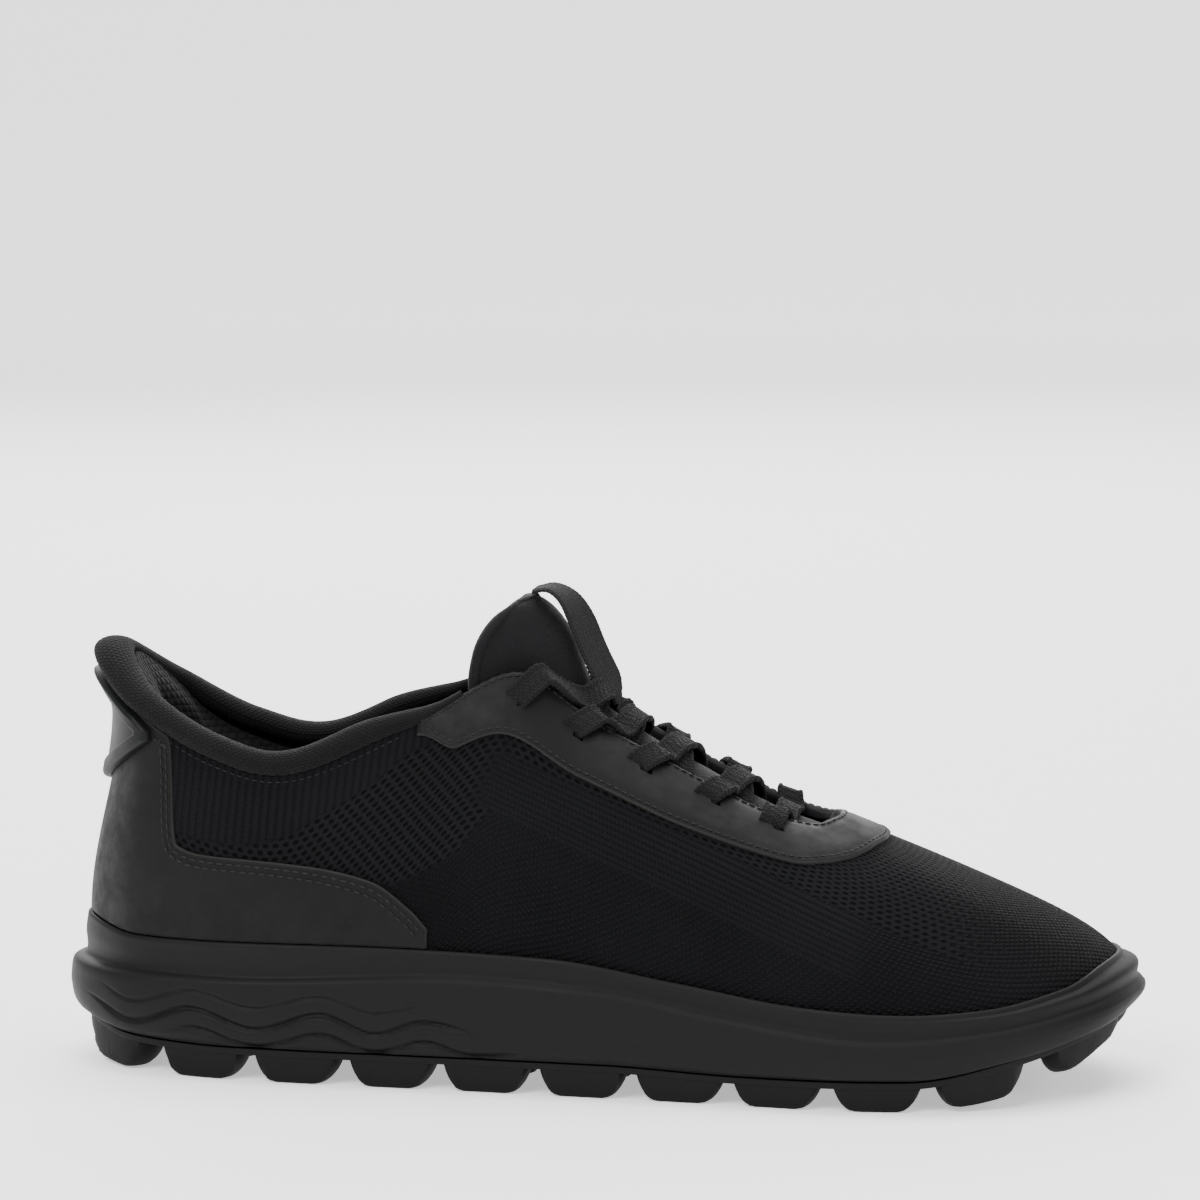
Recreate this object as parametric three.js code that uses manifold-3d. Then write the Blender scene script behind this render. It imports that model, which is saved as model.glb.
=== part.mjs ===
// A low knit slip-on sneaker for the right foot, as separate pieces in their worn place.
// Millimetres. +X points to the toe, +Z up, the outer (lateral) side of the foot is -Y.
// The origin is on the ground, under the middle of the shoe's box.
import * as THREE from "three";
import { LoftGeometry } from "three/addons/geometries/LoftGeometry.js";
import { mergeVertices } from "three/addons/utils/BufferGeometryUtils.js";
import Module from "manifold-3d";

const wasm = await Module();
wasm.setup();

// ---------------------------------------------------------------- driving sizes

const SHOE_LENGTH = 300; // over the sole, heel to toe
const WIDTH_SCALE = 1; // 1 is a medium fitting
const GAP = 0.3; // air between neighbouring pieces
const LAYER_GAP = 0.5; // air between the layers of the upper, and under the insole

const KNIT_WALL = 2; // the upper's own thickness
const OVERLAY_WALL = 1; // heel wrap and eyestay
const STIFFENER_WALL = 1; // toe puff and heel counter
const LINING_WALL = 0.8;
const COLLAR_PAD = 5; // foam thickness behind the collar
const ROLL_HALF_WIDTH = 3.8; // collar roll, across the opening edge
const ROLL_HALF_HEIGHT = 2.5;

const RIM_DEPTH = 8; // how far the upper sits down inside the sole's rim
const RIM_WALL = 2.2; // rim thickness at its top
const SIDEWALL_FLARE = 2.6; // how far the sidewall stands out past the rim's foot
const HEEL_FLARE = 2.6; // more of the same, at the heel only
const PLATE_WALL = 2.4; // outsole plate between midsole and pods
const BOARD_WALL = 1.6;
const INSOLE_WALL = 4.5;
const INSOLE_EDGE = 10; // how wide the footbed's raised edge is
const COVER_WALL = 0.6; // textile sheet on the footbed

const POD_COUNT = 11; // along each edge of the outsole
const POD_WIDTH = 20;
const POD_SPACE = 2.4; // clear space between pods in a row
const POD_SIDES = 8;

const TONGUE_COVER_WALL = 0.9;
const TONGUE_FOAM_WALL = 3;
const LOOP_WIDTH = 13;
const LOOP_END_WIDTH = 6; // folded in where it is sewn down between two strands of lace
const LOOP_WALL = 1.2;

const LACE_WIDTH = 6.4;
const LACE_WALL = 1.5;
const SLOT_CLEARANCE = 0.9; // past each edge of the lace, in each slot
const SLOT_HEIGHT = 6;
const SLOTS_PER_SIDE = 5;

const COLUMNS = 44; // facets once round the shoe

// ---------------------------------------------------------------- curves along the length

const BASE_LENGTH = 300; // the length that the stations below are given for
const STRETCH = SHOE_LENGTH / BASE_LENGTH;

// A smooth curve through [x, value] points, level beyond its ends.
function profile(points) {
  const rate = (i) => (points[i + 1][1] - points[i][1]) / (points[i + 1][0] - points[i][0]);
  const slope = points.map((p, i) => {
    if (i === 0 || i === points.length - 1) return 0;
    const [before, after] = [rate(i - 1), rate(i)];
    return before * after > 0 ? (2 * before * after) / (before + after) : 0;
  });
  return (x) => {
    if (x <= points[0][0]) return points[0][1];
    const last = points.length - 1;
    if (x >= points[last][0]) return points[last][1];
    const i = points.findIndex((p) => p[0] > x) - 1;
    const span = points[i + 1][0] - points[i][0];
    const t = (x - points[i][0]) / span;
    const bend = t * t * (3 - 2 * t);
    const lean = slope[i] * t * (1 - t) * (1 - t) - slope[i + 1] * t * t * (1 - t);
    return points[i][1] + (points[i + 1][1] - points[i][1]) * bend + span * lean;
  };
}

const alongShoe = (points) => profile(points.map(([x, z]) => [x * STRETCH, z]));

// Heights above the ground: the top of the sole's rim, the ridge below it,
// the line where the pods begin, and the face the pods stand on.
const rimTop = alongShoe([[-146, 41], [-125, 38.4], [-60, 39], [-10, 38], [29, 32.6],
  [61, 28], [90, 26.4], [112, 27.4], [132, 31], [148, 36]]);
const ridge = alongShoe([[-146, 28], [-100, 28], [-33, 31], [10, 28.8], [40, 23.6],
  [83, 19], [112, 21], [134, 24.6], [150, 28]]);
const podLine = alongShoe([[-150, 13], [-128, 9.6], [-98, 8.6], [7, 8.6], [45, 7.4],
  [90, 7.7], [119, 13], [139, 19], [150, 25]]);
const tread = alongShoe([[-150, 5], [-140, 1.5], [-122, 0], [86, 0], [105, 1.4],
  [131, 8], [150, 18]]);

// ---------------------------------------------------------------- the skin of the upper

// One row per station from the toe to the heel: the foot of the wall (x, then y on each side),
// the edge of the opening (x, y, z), how the wall leaves its foot (x, y, z)
// and how it arrives at the opening's edge (x, y, z).
const STATIONS = [
  { foot: [146.5, 5, 5], edge: [65, 0, 73], wall: [1, 0, 14], shoulder: [45, 0, -20] },
  { foot: [137.5, 21, 28], edge: [64, 6, 72.4], wall: [1, 1, 16], shoulder: [34, 16, -16] },
  { foot: [111, 42, 43], edge: [59, 12, 71.4], wall: [0, 2, 20], shoulder: [17, 19, -9] },
  { foot: [76, 48.5, 45], edge: [46, 14.5, 75.5], wall: [0, 2, 26], shoulder: [7, 19, -7] },
  { foot: [34, 44.5, 39], edge: [24, 15.5, 86.8], wall: [0, 2, 32], shoulder: [2, 19, -9] },
  { foot: [0, 41.5, 35.5], edge: [0, 16.5, 100], wall: [0, 2, 38], shoulder: [-1, 18, -12] },
  { foot: [-30, 39, 34.5], edge: [-20, 19.5, 113.5], wall: [0, 2, 40], shoulder: [-3, 14, -20] },
  { foot: [-54, 37.5, 34.5], edge: [-46, 26, 101], wall: [0, 2, 36], shoulder: [-1, 9, -24] },
  { foot: [-82, 35.5, 34], edge: [-80, 30, 85.5], wall: [0, 2.5, 26], shoulder: [0, 6, -18] },
  { foot: [-108, 31.5, 31], edge: [-104, 29, 89], wall: [0, 3, 24], shoulder: [0, 4, -16] },
  { foot: [-130, 22, 22], edge: [-126, 22, 101.5], wall: [-2, 3, 26], shoulder: [4, 1, -18] },
  { foot: [-143.5, 0, 0], edge: [-137, 0, 113.5], wall: [-3, 0, 28], shoulder: [8, 0, -25] },
];
const HALF = STATIONS.length - 1; // station number at the heel
const ROUND = 2 * HALF; // stations once round

const point = (x, y, z) => new THREE.Vector3(x * STRETCH, y * WIDTH_SCALE, z);

// The four control loops of the skin: foot, wall, shoulder and edge.
const loops = [[], [], [], []];
for (let n = 0; n < ROUND; n += 1) {
  const lateral = n <= HALF;
  const station = STATIONS[lateral ? n : ROUND - n];
  const side = lateral ? -1 : 1;
  const width = station.foot[lateral ? 1 : 2];
  const middle = n === 0 ? 1 : side; // the toe's tip leans to the inner side
  const [x] = station.foot;
  const foot = point(x, middle * width, rimTop(x * STRETCH) - RIM_DEPTH);
  const edge = point(station.edge[0], side * station.edge[1], station.edge[2]);
  const [wx, wy, wz] = station.wall;
  const [sx, sy, sz] = station.shoulder;
  loops[0].push(foot);
  loops[1].push(foot.clone().add(point(wx, side * wy, wz)));
  loops[2].push(edge.clone().add(point(sx, side * sy, sz)));
  loops[3].push(edge);
}
const controls = loops.map((points) => new THREE.CatmullRomCurve3(points, true, "catmullrom", 0.5));

// A point of the skin: station runs once round from the toe, rise from the foot (0) to the edge (1).
function onSkin(station, rise) {
  const t = (((station % ROUND) + ROUND) % ROUND) / ROUND;
  const [foot, wall, shoulder, edge] = controls.map((curve) => curve.getPoint(t));
  const back = 1 - rise;
  return foot.multiplyScalar(back ** 3)
    .addScaledVector(wall, 3 * back * back * rise)
    .addScaledVector(shoulder, 3 * back * rise * rise)
    .addScaledVector(edge, rise ** 3);
}

function outward(station, rise) {
  const step = 0.02;
  const low = Math.max(rise - step, 0);
  const high = Math.min(rise + step, 1);
  const round = onSkin(station + step, rise).sub(onSkin(station - step, rise));
  const up = onSkin(station, high).sub(onSkin(station, low));
  return up.cross(round).normalize();
}

const offSkin = (station, rise, offset) =>
  onSkin(station, rise).addScaledVector(outward(station, rise), offset);

// The rise at which the skin reaches a height.
function riseAt(station, height) {
  let low = 0;
  let high = 1;
  for (let n = 0; n < 20; n += 1) {
    const middle = (low + high) / 2;
    if (onSkin(station, middle).z < height) low = middle;
    else high = middle;
  }
  return (low + high) / 2;
}

const fromHeel = (station) => Math.abs((((station % ROUND) + ROUND) % ROUND) - HALF);
const fromToe = (station) => HALF - fromHeel(station);

// ---------------------------------------------------------------- solids

// A closed geometry from a loft: shared corners merged, flat triangles dropped, facing out.
function sealed(geometry) {
  const bare = new THREE.BufferGeometry()
    .setAttribute("position", geometry.getAttribute("position"))
    .setIndex(geometry.index);
  const merged = mergeVertices(bare, 1e-3);
  const index = merged.index.array;
  const kept = [];
  for (let i = 0; i < index.length; i += 3) {
    const [a, b, c] = [index[i], index[i + 1], index[i + 2]];
    if (a !== b && b !== c && c !== a) kept.push(a, b, c);
  }
  merged.setIndex(kept);
  return toSolid(merged).volume() < 0 ? turnedOut(merged) : merged;
}

function turnedOut(geometry) {
  const index = Array.from(geometry.index.array);
  for (let i = 0; i < index.length; i += 3) {
    [index[i + 1], index[i + 2]] = [index[i + 2], index[i + 1]];
  }
  return geometry.setIndex(index);
}

function toSolid(geometry) {
  return new wasm.Manifold(new wasm.Mesh({
    numProp: 3,
    vertProperties: new Float32Array(geometry.getAttribute("position").array),
    triVerts: new Uint32Array(geometry.index.array),
  }));
}

function fromSolid(solid) {
  const mesh = solid.getMesh();
  return new THREE.BufferGeometry()
    .setAttribute("position", new THREE.BufferAttribute(mesh.vertProperties, 3))
    .setIndex(new THREE.BufferAttribute(mesh.triVerts, 1));
}

// A loft with both ends capped, whichever way its sections were drawn round.
function capped(sections) {
  const [first, second] = sections;
  const turn = new THREE.Vector3();
  first.forEach((p, n) => turn.add(p.clone().cross(first[(n + 1) % first.length])));
  const ahead = new THREE.Vector3();
  first.forEach((p, n) => ahead.add(second[n]).sub(p));
  const facing = turn.dot(ahead) < 0 ? sections.map((section) => [...section].reverse()) : sections;
  return sealed(new LoftGeometry(facing, { capStart: true, capEnd: true }));
}

const span = (from, to, steps) =>
  Array.from({ length: steps + 1 }, (unused, n) => from + ((to - from) * n) / steps);

// A layer that follows the skin between two stations, two rises and two offsets from it.
// Its columns are a whole number to each facet of the shoe, so that layers stay apart where they curve.
function layer({ from, to, low, high, inner, outer, rows, finer = 1 }) {
  const closed = to - from === ROUND;
  const columns = Math.round(((to - from) * COLUMNS * finer) / ROUND);
  const sections = span(from, to, columns).map((station) => {
    const rises = span(low(station), high(station), rows);
    const out = rises.map((rise) => offSkin(station, rise, outer(station, rise)));
    const back = rises.reverse().map((rise) => offSkin(station, rise, inner(station, rise)));
    return [...out, ...back];
  });
  if (!closed) return capped(sections);
  sections[columns] = sections[0];
  return sealed(new LoftGeometry(sections));
}

// A solid stacked from rings that share the skin's stations; its first and last ring close on a spine.
function stacked(rings) {
  return sealed(new LoftGeometry(rings));
}

// A ring round the shoe: the skin's foot moved outward in plan by grow, at a height.
function ring(grow, height) {
  return span(0, ROUND, COLUMNS).slice(0, COLUMNS).map((station) => {
    const foot = onSkin(station, 0);
    const out = outward(station, 0).setZ(0).normalize();
    const p = foot.addScaledVector(out, grow(foot.x));
    return p.setZ(height(p.x));
  });
}

// Rings that close an outline like a lid: drawn in by steps to a line along the middle of the shoe.
// At the toe and the heel the last few columns all end on the same point of that line.
const LID_END_COLUMNS = 3;
function lid(outline, height) {
  return [0.5, 1].map((share) => outline.map((p, n) => {
    const abreast = Math.min(n, COLUMNS - n);
    const column = THREE.MathUtils.clamp(abreast, LID_END_COLUMNS, COLUMNS / 2 - LID_END_COLUMNS);
    const middle = outline[column].clone().add(outline[COLUMNS - column]).multiplyScalar(0.5);
    const drawnIn = p.clone().lerp(middle, share);
    return drawnIn.setZ(height(drawnIn.x));
  }));
}

// A flat-lying solid between two lids, with any rings that its side passes through.
function slab(low, lowHeight, between, high, highHeight) {
  return stacked([...lid(low, lowHeight).reverse(), low, ...between, high, ...lid(high, highHeight)]);
}

const constant = (value) => () => value;

// ---------------------------------------------------------------- the sole

const floorTop = (x) => rimTop(x) - RIM_DEPTH; // where the upper's foot stands
const boardBottom = (x) => floorTop(x) - BOARD_WALL - 2 * GAP;
const plateTop = (x) => podLine(x) + 1;
const heelward = (x) => THREE.MathUtils.smoothstep(-x, 90 * STRETCH, 145 * STRETCH);
const flare = (share) => (x) => RIM_WALL + share * (SIDEWALL_FLARE + HEEL_FLARE * heelward(x));

// A ring on the upper's skin, clear of it, at a share of the rim's depth.
function alongRim(share) {
  return span(0, ROUND, COLUMNS).slice(0, COLUMNS).map((station) => {
    const { x } = onSkin(station, 0);
    const height = floorTop(x) + RIM_DEPTH * share;
    return offSkin(station, riseAt(station, height), GAP).setZ(height);
  });
}

function midsole() {
  const bottomEdge = ring(flare(0.1), plateTop);
  const rim = alongRim(1);
  const wall = (share, height) => ring(flare(share), height);
  const sidewall = (share) => (x) => podLine(x) + (ridge(x) - podLine(x)) * share;
  const rimOuter = rim.map((p, n) => {
    const out = outward((n * ROUND) / COLUMNS, 0).setZ(0).normalize();
    return p.clone().addScaledVector(out, RIM_WALL - GAP);
  });
  const sides = [
    wall(0.75, sidewall(0.18)),
    wall(1, sidewall(0.55)),
    wall(0.75, sidewall(0.97)),
    wall(0.12, (x) => ridge(x) + 1.6),
    wall(0.16, (x) => (ridge(x) + rimTop(x)) / 2 + 1),
    rimOuter,
    rim,
    alongRim(0.5),
    ring(constant(GAP), floorTop),
  ];
  return slab(bottomEdge, plateTop, sides, ring(constant(GAP), boardBottom), boardBottom);
}

// The plate that carries the pods, with a flat-bottomed pod on every place of the tread pattern.
function outsole() {
  const top = (x) => plateTop(x) - LAYER_GAP;
  const bottom = (x) => Math.max(top(x) - PLATE_WALL, tread(x) + 2);
  const edgeTop = ring(flare(0.1), top);
  const plate = toSolid(slab(edgeTop, top, [], ring(flare(0), bottom), bottom));
  const [below, above] = [constant(-1), constant(rimTop(SHOE_LENGTH / 2))];
  const footprint = toSolid(slab(ring(flare(0.1), below), below, [], ring(flare(0.1), above), above));
  const pods = podPlaces(edgeTop).map((place) => toSolid(pod(place, top)).intersect(footprint));
  return fromSolid(pods.reduce((whole, next) => whole.add(next), plate));
}

// Pods stand in rows across the outline, as many as its width has room for.
function podPlaces(outline) {
  const places = [];
  const lateral = outline.slice(0, COLUMNS / 2 + 1);
  const medial = [outline[0], ...outline.slice(COLUMNS / 2).reverse()];
  const front = outline[0].x;
  const back = outline[COLUMNS / 2].x;
  const pitch = (front - back) / POD_COUNT;
  const yAt = (side, x) => {
    const n = Math.max(side.findIndex((p) => p.x < x), 1);
    const t = (side[n - 1].x - x) / (side[n - 1].x - side[n].x);
    return side[n - 1].y + (side[n].y - side[n - 1].y) * t;
  };
  for (let n = 0; n < POD_COUNT; n += 1) {
    const x = back + pitch * (n + 0.5);
    const [low, high] = [yAt(lateral, x), yAt(medial, x)];
    const rows = THREE.MathUtils.clamp(Math.round((high - low) / (POD_WIDTH + POD_SPACE)), 2, 4);
    const width = (high - low) / rows;
    for (let row = 0; row < rows; row += 1) {
      places.push({ x, y: low + width * (row + 0.5), long: pitch - POD_SPACE, wide: width - POD_SPACE });
    }
  }
  return places;
}

// A rounded pod, narrower at its foot, that stands on the tread line.
function pod({ x, y, long, wide }, top) {
  const outline = (grow, height) => span(0, 2 * Math.PI, POD_SIDES).slice(0, POD_SIDES).map((turn) => {
    const px = x + Math.sign(Math.cos(turn)) * Math.abs(Math.cos(turn)) ** 0.7 * (long / 2 - grow);
    const py = y + Math.sign(Math.sin(turn)) * Math.abs(Math.sin(turn)) ** 0.7 * (wide / 2 - grow);
    return new THREE.Vector3(px, py, height(px));
  });
  const sections = [
    outline(2.6, tread),
    outline(0.6, (px) => tread(px) + 2),
    outline(0, (px) => top(px) - PLATE_WALL / 2),
  ];
  return capped(sections);
}

function strobelBoard() {
  const bottom = (x) => boardBottom(x) + GAP;
  const top = (x) => bottom(x) + BOARD_WALL;
  const edge = constant(-LAYER_GAP - GAP);
  return slab(ring(edge, bottom), bottom, [], ring(edge, top), top);
}

// The removable footbed lies inside the lining and dishes up a little round its edge.
const innerWall = KNIT_WALL + STIFFENER_WALL + LINING_WALL + 3 * LAYER_GAP;
const insoleBottom = (x) => boardBottom(x) + BOARD_WALL + GAP + LAYER_GAP;
function insole() {
  const top = (x) => insoleBottom(x) + INSOLE_WALL;
  const inset = constant(-innerWall - 2.8);
  const low = ring(constant(-innerWall - 3.8), insoleBottom);
  const side = ring(inset, (x) => insoleBottom(x) + 2);
  const lip = ring(inset, (x) => top(x) + 2);
  return slab(low, insoleBottom, [side, lip], ring(constant(-innerWall - INSOLE_EDGE), top), top);
}

// The textile sheet on the footbed.
function insoleCover() {
  const bottom = (x) => insoleBottom(x) + INSOLE_WALL + GAP;
  const top = (x) => bottom(x) + COVER_WALL;
  const edge = constant(-innerWall - INSOLE_EDGE - 2);
  return slab(ring(edge, bottom), bottom, [], ring(edge, top), top);
}

// ---------------------------------------------------------------- the upper and what lines it

const heelRise = 0.99;
const slotStations = span(5.95, 3, SLOTS_PER_SIDE - 1); // top slot first
const SLOT_RISE = 0.86;

function upperKnit() {
  return cutSlots(layer({
    from: 0, to: ROUND, low: constant(0), high: constant(1),
    inner: constant(-KNIT_WALL), outer: constant(0), rows: 10,
  }));
}

// How thick the padding behind the collar is: most at the top round the heel, none in front.
function padThickness(station, rise) {
  const rear = 1 - THREE.MathUtils.smoothstep(fromHeel(station), 2.6, 4.4);
  const high = THREE.MathUtils.smoothstep(rise, 0.3, 0.75);
  return COLLAR_PAD * rear * high;
}

const stiffenerOut = -KNIT_WALL - LAYER_GAP;
const padOut = stiffenerOut - STIFFENER_WALL - LAYER_GAP;
const liningOut = (station, rise) => padOut - padThickness(station, rise) - LAYER_GAP;
const liningTop = profile([[0, 0.62], [2, 0.55], [4, 0.6], [5, 0.66], [6, 0.7], [6.6, 0.9], [7.4, 0.99]]);

function lining() {
  return layer({
    from: 0, to: ROUND, low: constant(0.02), high: (s) => liningTop(fromToe(s)),
    inner: (s, r) => liningOut(s, r) - LINING_WALL, outer: liningOut, rows: 8,
  });
}

function collarFoam() {
  const reach = 3.5; // stations each way from the heel
  return layer({
    from: HALF - reach, to: HALF + reach, low: constant(0.46), high: constant(0.98),
    inner: (s, r) => padOut - Math.max(padThickness(s, r), 0.4), outer: constant(padOut), rows: 6,
  });
}

function heelCounter() {
  const reach = 3;
  const high = (s) => 0.72 - 0.035 * fromHeel(s) ** 2;
  return layer({
    from: HALF - reach, to: HALF + reach, low: constant(0.03), high,
    inner: constant(stiffenerOut - STIFFENER_WALL), outer: constant(stiffenerOut), rows: 5,
  });
}

function toePuff() {
  const reach = 2;
  const high = (s) => 0.6 - 0.06 * fromToe(s) ** 2;
  return layer({
    from: -reach, to: reach, low: constant(0.05), high,
    inner: constant(stiffenerOut - STIFFENER_WALL), outer: constant(stiffenerOut), rows: 5,
  });
}

// ---------------------------------------------------------------- overlays

// The wrap's upper edge: up to the collar at the heel, then a step down to a low tail along the quarter.
const wrapHeight = profile([[0, 130], [1.25, 130], [1.7, 64.5], [2, 62.4], [2.6, 61.6], [3.2, 60.4],
  [3.8, 57], [4.3, 49], [4.62, 43]]);
function heelWrap() {
  const reach = 4.5;
  const low = (s) => riseAt(s, rimTop(onSkin(s, 0).x) + GAP) + 0.01;
  const high = (s) => Math.max(Math.min(riseAt(s, wrapHeight(fromHeel(s))), heelRise), low(s) + 0.01);
  return layer({
    from: HALF - reach, to: HALF + reach, low, high,
    inner: constant(GAP), outer: constant(GAP + OVERLAY_WALL), rows: 8, finer: 2,
  });
}

const eyestayLow = profile([[0, 0.87], [1, 0.8], [2, 0.7], [3, 0.66], [4, 0.66], [5, 0.68], [6, 0.74],
  [6.5, 0.76], [7.05, 0.93]]);
function eyestay() {
  const reach = 7;
  return cutSlots(layer({
    from: -reach, to: reach, low: (s) => eyestayLow(fromToe(s)), high: constant(0.98),
    inner: constant(LAYER_GAP), outer: constant(LAYER_GAP + OVERLAY_WALL), rows: 4,
  }));
}

// The slots that the lace passes through, cut along the skin's own direction at each place.
function cutSlots(geometry) {
  let solid = toSolid(geometry);
  for (const side of [1, -1]) {
    for (const station of slotStations) {
      solid = solid.subtract(toSolid(slotCutter(side * station)));
    }
  }
  return fromSolid(solid);
}

function slotCutter(station) {
  const depth = 12;
  const box = new THREE.BoxGeometry(LACE_WIDTH + 2 * SLOT_CLEARANCE, SLOT_HEIGHT, depth);
  return sealed(box.applyMatrix4(slotFrame(station)));
}

// Axes at a slot: along the shoe, up the skin towards the throat, and out of the skin.
function slotFrame(station) {
  const out = outward(station, SLOT_RISE);
  const up = onSkin(station, SLOT_RISE + 0.05).sub(onSkin(station, SLOT_RISE - 0.05));
  up.addScaledVector(out, -up.dot(out)).normalize();
  const along = up.clone().cross(out);
  return new THREE.Matrix4().makeBasis(along, up, out).setPosition(onSkin(station, SLOT_RISE));
}

// A moulded tab on the back of the heel: a diamond that flares out towards its top lip.
const TAB_REACH = 1.25;
const TAB_WALL = 2.2;
const TAB_FLARE = 4.6;
function heelTab() {
  const tipRise = 0.72;
  const share = (s) => Math.min(fromHeel(s) / TAB_REACH, 1);
  const base = GAP + OVERLAY_WALL + LAYER_GAP;
  const flared = (s, r) => TAB_FLARE * (1 - share(s)) ** 1.5 * THREE.MathUtils.smoothstep(r, 0.7, 0.97);
  return layer({
    from: HALF - TAB_REACH, to: HALF + TAB_REACH,
    low: (s) => 0.5 + (tipRise - 0.5 - 0.03) * share(s),
    high: (s) => 0.97 - (0.97 - tipRise - 0.03) * share(s),
    inner: constant(base), outer: (s, r) => base + TAB_WALL + flared(s, r), rows: 8, finer: 2,
  });
}

// The padded roll on the edge of the opening, from one end of the eyestay round the heel to the other.
function collarRoll() {
  const reach = 3.9;
  const sides = 10;
  const sections = span(HALF - reach, HALF + reach, 32).map((station) => {
    const edge = onSkin(station, 1);
    const ahead = onSkin(station + 0.05, 1).sub(onSkin(station - 0.05, 1)).normalize();
    const up = new THREE.Vector3(0, 0, 1).addScaledVector(ahead, -ahead.z).normalize();
    const across = ahead.clone().cross(up);
    const thin = 1 - 0.45 * THREE.MathUtils.smoothstep(fromHeel(station), reach - 0.7, reach);
    const half = ROLL_HALF_WIDTH * thin;
    const tall = ROLL_HALF_HEIGHT * thin;
    const centre = edge.clone().addScaledVector(up, tall + LAYER_GAP).addScaledVector(across, half - 2.6);
    return span(0, 2 * Math.PI, sides).slice(0, sides).map((turn) => centre.clone()
      .addScaledVector(across, half * Math.cos(turn))
      .addScaledVector(up, tall * Math.sin(turn)));
  });
  return capped(sections);
}

// ---------------------------------------------------------------- tongue and pull loop

// From the root under the vamp to the top: the middle of the outer face (x, z) and its side edge (x, y, z).
const TONGUE = [
  { middle: [71, 66.6], side: [69, 11, 63.6] },
  { middle: [63, 69.2], side: [60, 16.5, 61] },
  { middle: [48, 74.8], side: [44, 20.5, 62] },
  { middle: [30, 84.2], side: [26, 22.5, 69.8] },
  { middle: [12, 94], side: [6, 22.5, 78.2] },
  { middle: [0, 103], side: [-12, 23, 87.2] },
  { middle: [-4.5, 113], side: [-30, 21.5, 102] },
  { middle: [-8.5, 121.5], side: [-31, 19, 117] },
  { middle: [-14, 129], side: [-25, 14, 127.5] },
  { middle: [-18, 132.4], side: [-21, 6, 131.5] },
];
const tongueLines = ["middle", "side"].map((name) => new THREE.CatmullRomCurve3(
  TONGUE.map((t) => (name === "middle" ? point(t.middle[0], 0, t.middle[1]) : point(...t.side))),
  false, "catmullrom", 0.5,
));

const TONGUE_BULGE = 0.05; // how much rounder than a parabola the tongue's section is
// A point of the tongue's outer face: along from root to top, across from -1 to 1.
function onTongue(along, across) {
  const [middle, side] = tongueLines.map((line) => line.getPoint(Math.min(Math.max(along, 0), 1)));
  const fall = across * across;
  return new THREE.Vector3(
    middle.x + (side.x - middle.x) * fall,
    side.y * across * (1 + TONGUE_BULGE * (1 - fall)),
    middle.z + (side.z - middle.z) * fall,
  );
}

function tongueNormal(along, across) {
  const step = 0.02;
  const forward = onTongue(along + step, across).sub(onTongue(along - step, across));
  const sideways = onTongue(along, across + step).sub(onTongue(along, across - step));
  return sideways.cross(forward).normalize();
}

function tongueLayer(outer, inner, margin) {
  const columns = 18;
  const rows = 8;
  const sections = span(margin, 1 - margin, columns).map((along) => {
    const steps = span(-1 + margin, 1 - margin, rows);
    const face = (depth) => (across) => onTongue(along, across)
      .addScaledVector(tongueNormal(along, across), -depth);
    return [...steps.map(face(outer)), ...steps.reverse().map(face(inner))];
  });
  return capped(sections);
}

const tongueCover = () => tongueLayer(0, TONGUE_COVER_WALL, 0.005);
const foamOut = TONGUE_COVER_WALL + LAYER_GAP;
const tongueFoam = () => tongueLayer(foamOut, foamOut + TONGUE_FOAM_WALL, 0.04);
const tongueLining = () => tongueLayer(
  foamOut + TONGUE_FOAM_WALL + LAYER_GAP,
  foamOut + TONGUE_FOAM_WALL + LAYER_GAP + TONGUE_COVER_WALL,
  0.02,
);

// A webbing loop from the tongue's top, in front of the first crossing of the lace, back to the tongue.
const LOOP_ROUTE = [[-18, 132.8], [-12.5, 134], [-5.5, 131.6], [-0.5, 125.5], [2.6, 117.5], [5, 110],
  [5.8, 105.4], [4.4, 101.9]];
function pullLoop() {
  const stops = LOOP_ROUTE.map(([x, z]) => point(x, 0, z));
  const line = new THREE.CatmullRomCurve3(stops, false, "catmullrom", 0.5);
  const sections = span(0, 1, 16).map((t) => {
    const p = line.getPoint(t);
    const ahead = line.getTangent(t);
    const out = new THREE.Vector3(-ahead.z, 0, ahead.x);
    const folded = THREE.MathUtils.smoothstep(t, 0.72, 0.95);
    const width = LOOP_WIDTH + (LOOP_END_WIDTH - LOOP_WIDTH) * folded;
    const corner = (y, depth) => p.clone().addScaledVector(out, depth).setY((y * width) / 2);
    return [corner(-1, 0), corner(1, 0), corner(1, LOOP_WALL), corner(-1, LOOP_WALL)];
  });
  return capped(sections);
}

// ---------------------------------------------------------------- lace

const LACE_LIFT = 1.4; // the lace is springy, and stands this far off the eyestay
const LACE_BRIDGE = 3.4; // how high a strand hangs over the tongue as it comes off the eyestay
const LACE_REACH = 0.72; // how far out across the tongue a strand leaves it, as a share of its half width

// How far along the tongue a place abreast of the skin's edge at a slot is.
const tongueAbreast = profile([[3, 0.24], [3.74, 0.34], [4.48, 0.44], [5.21, 0.515], [5.95, 0.63]]);

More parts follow.
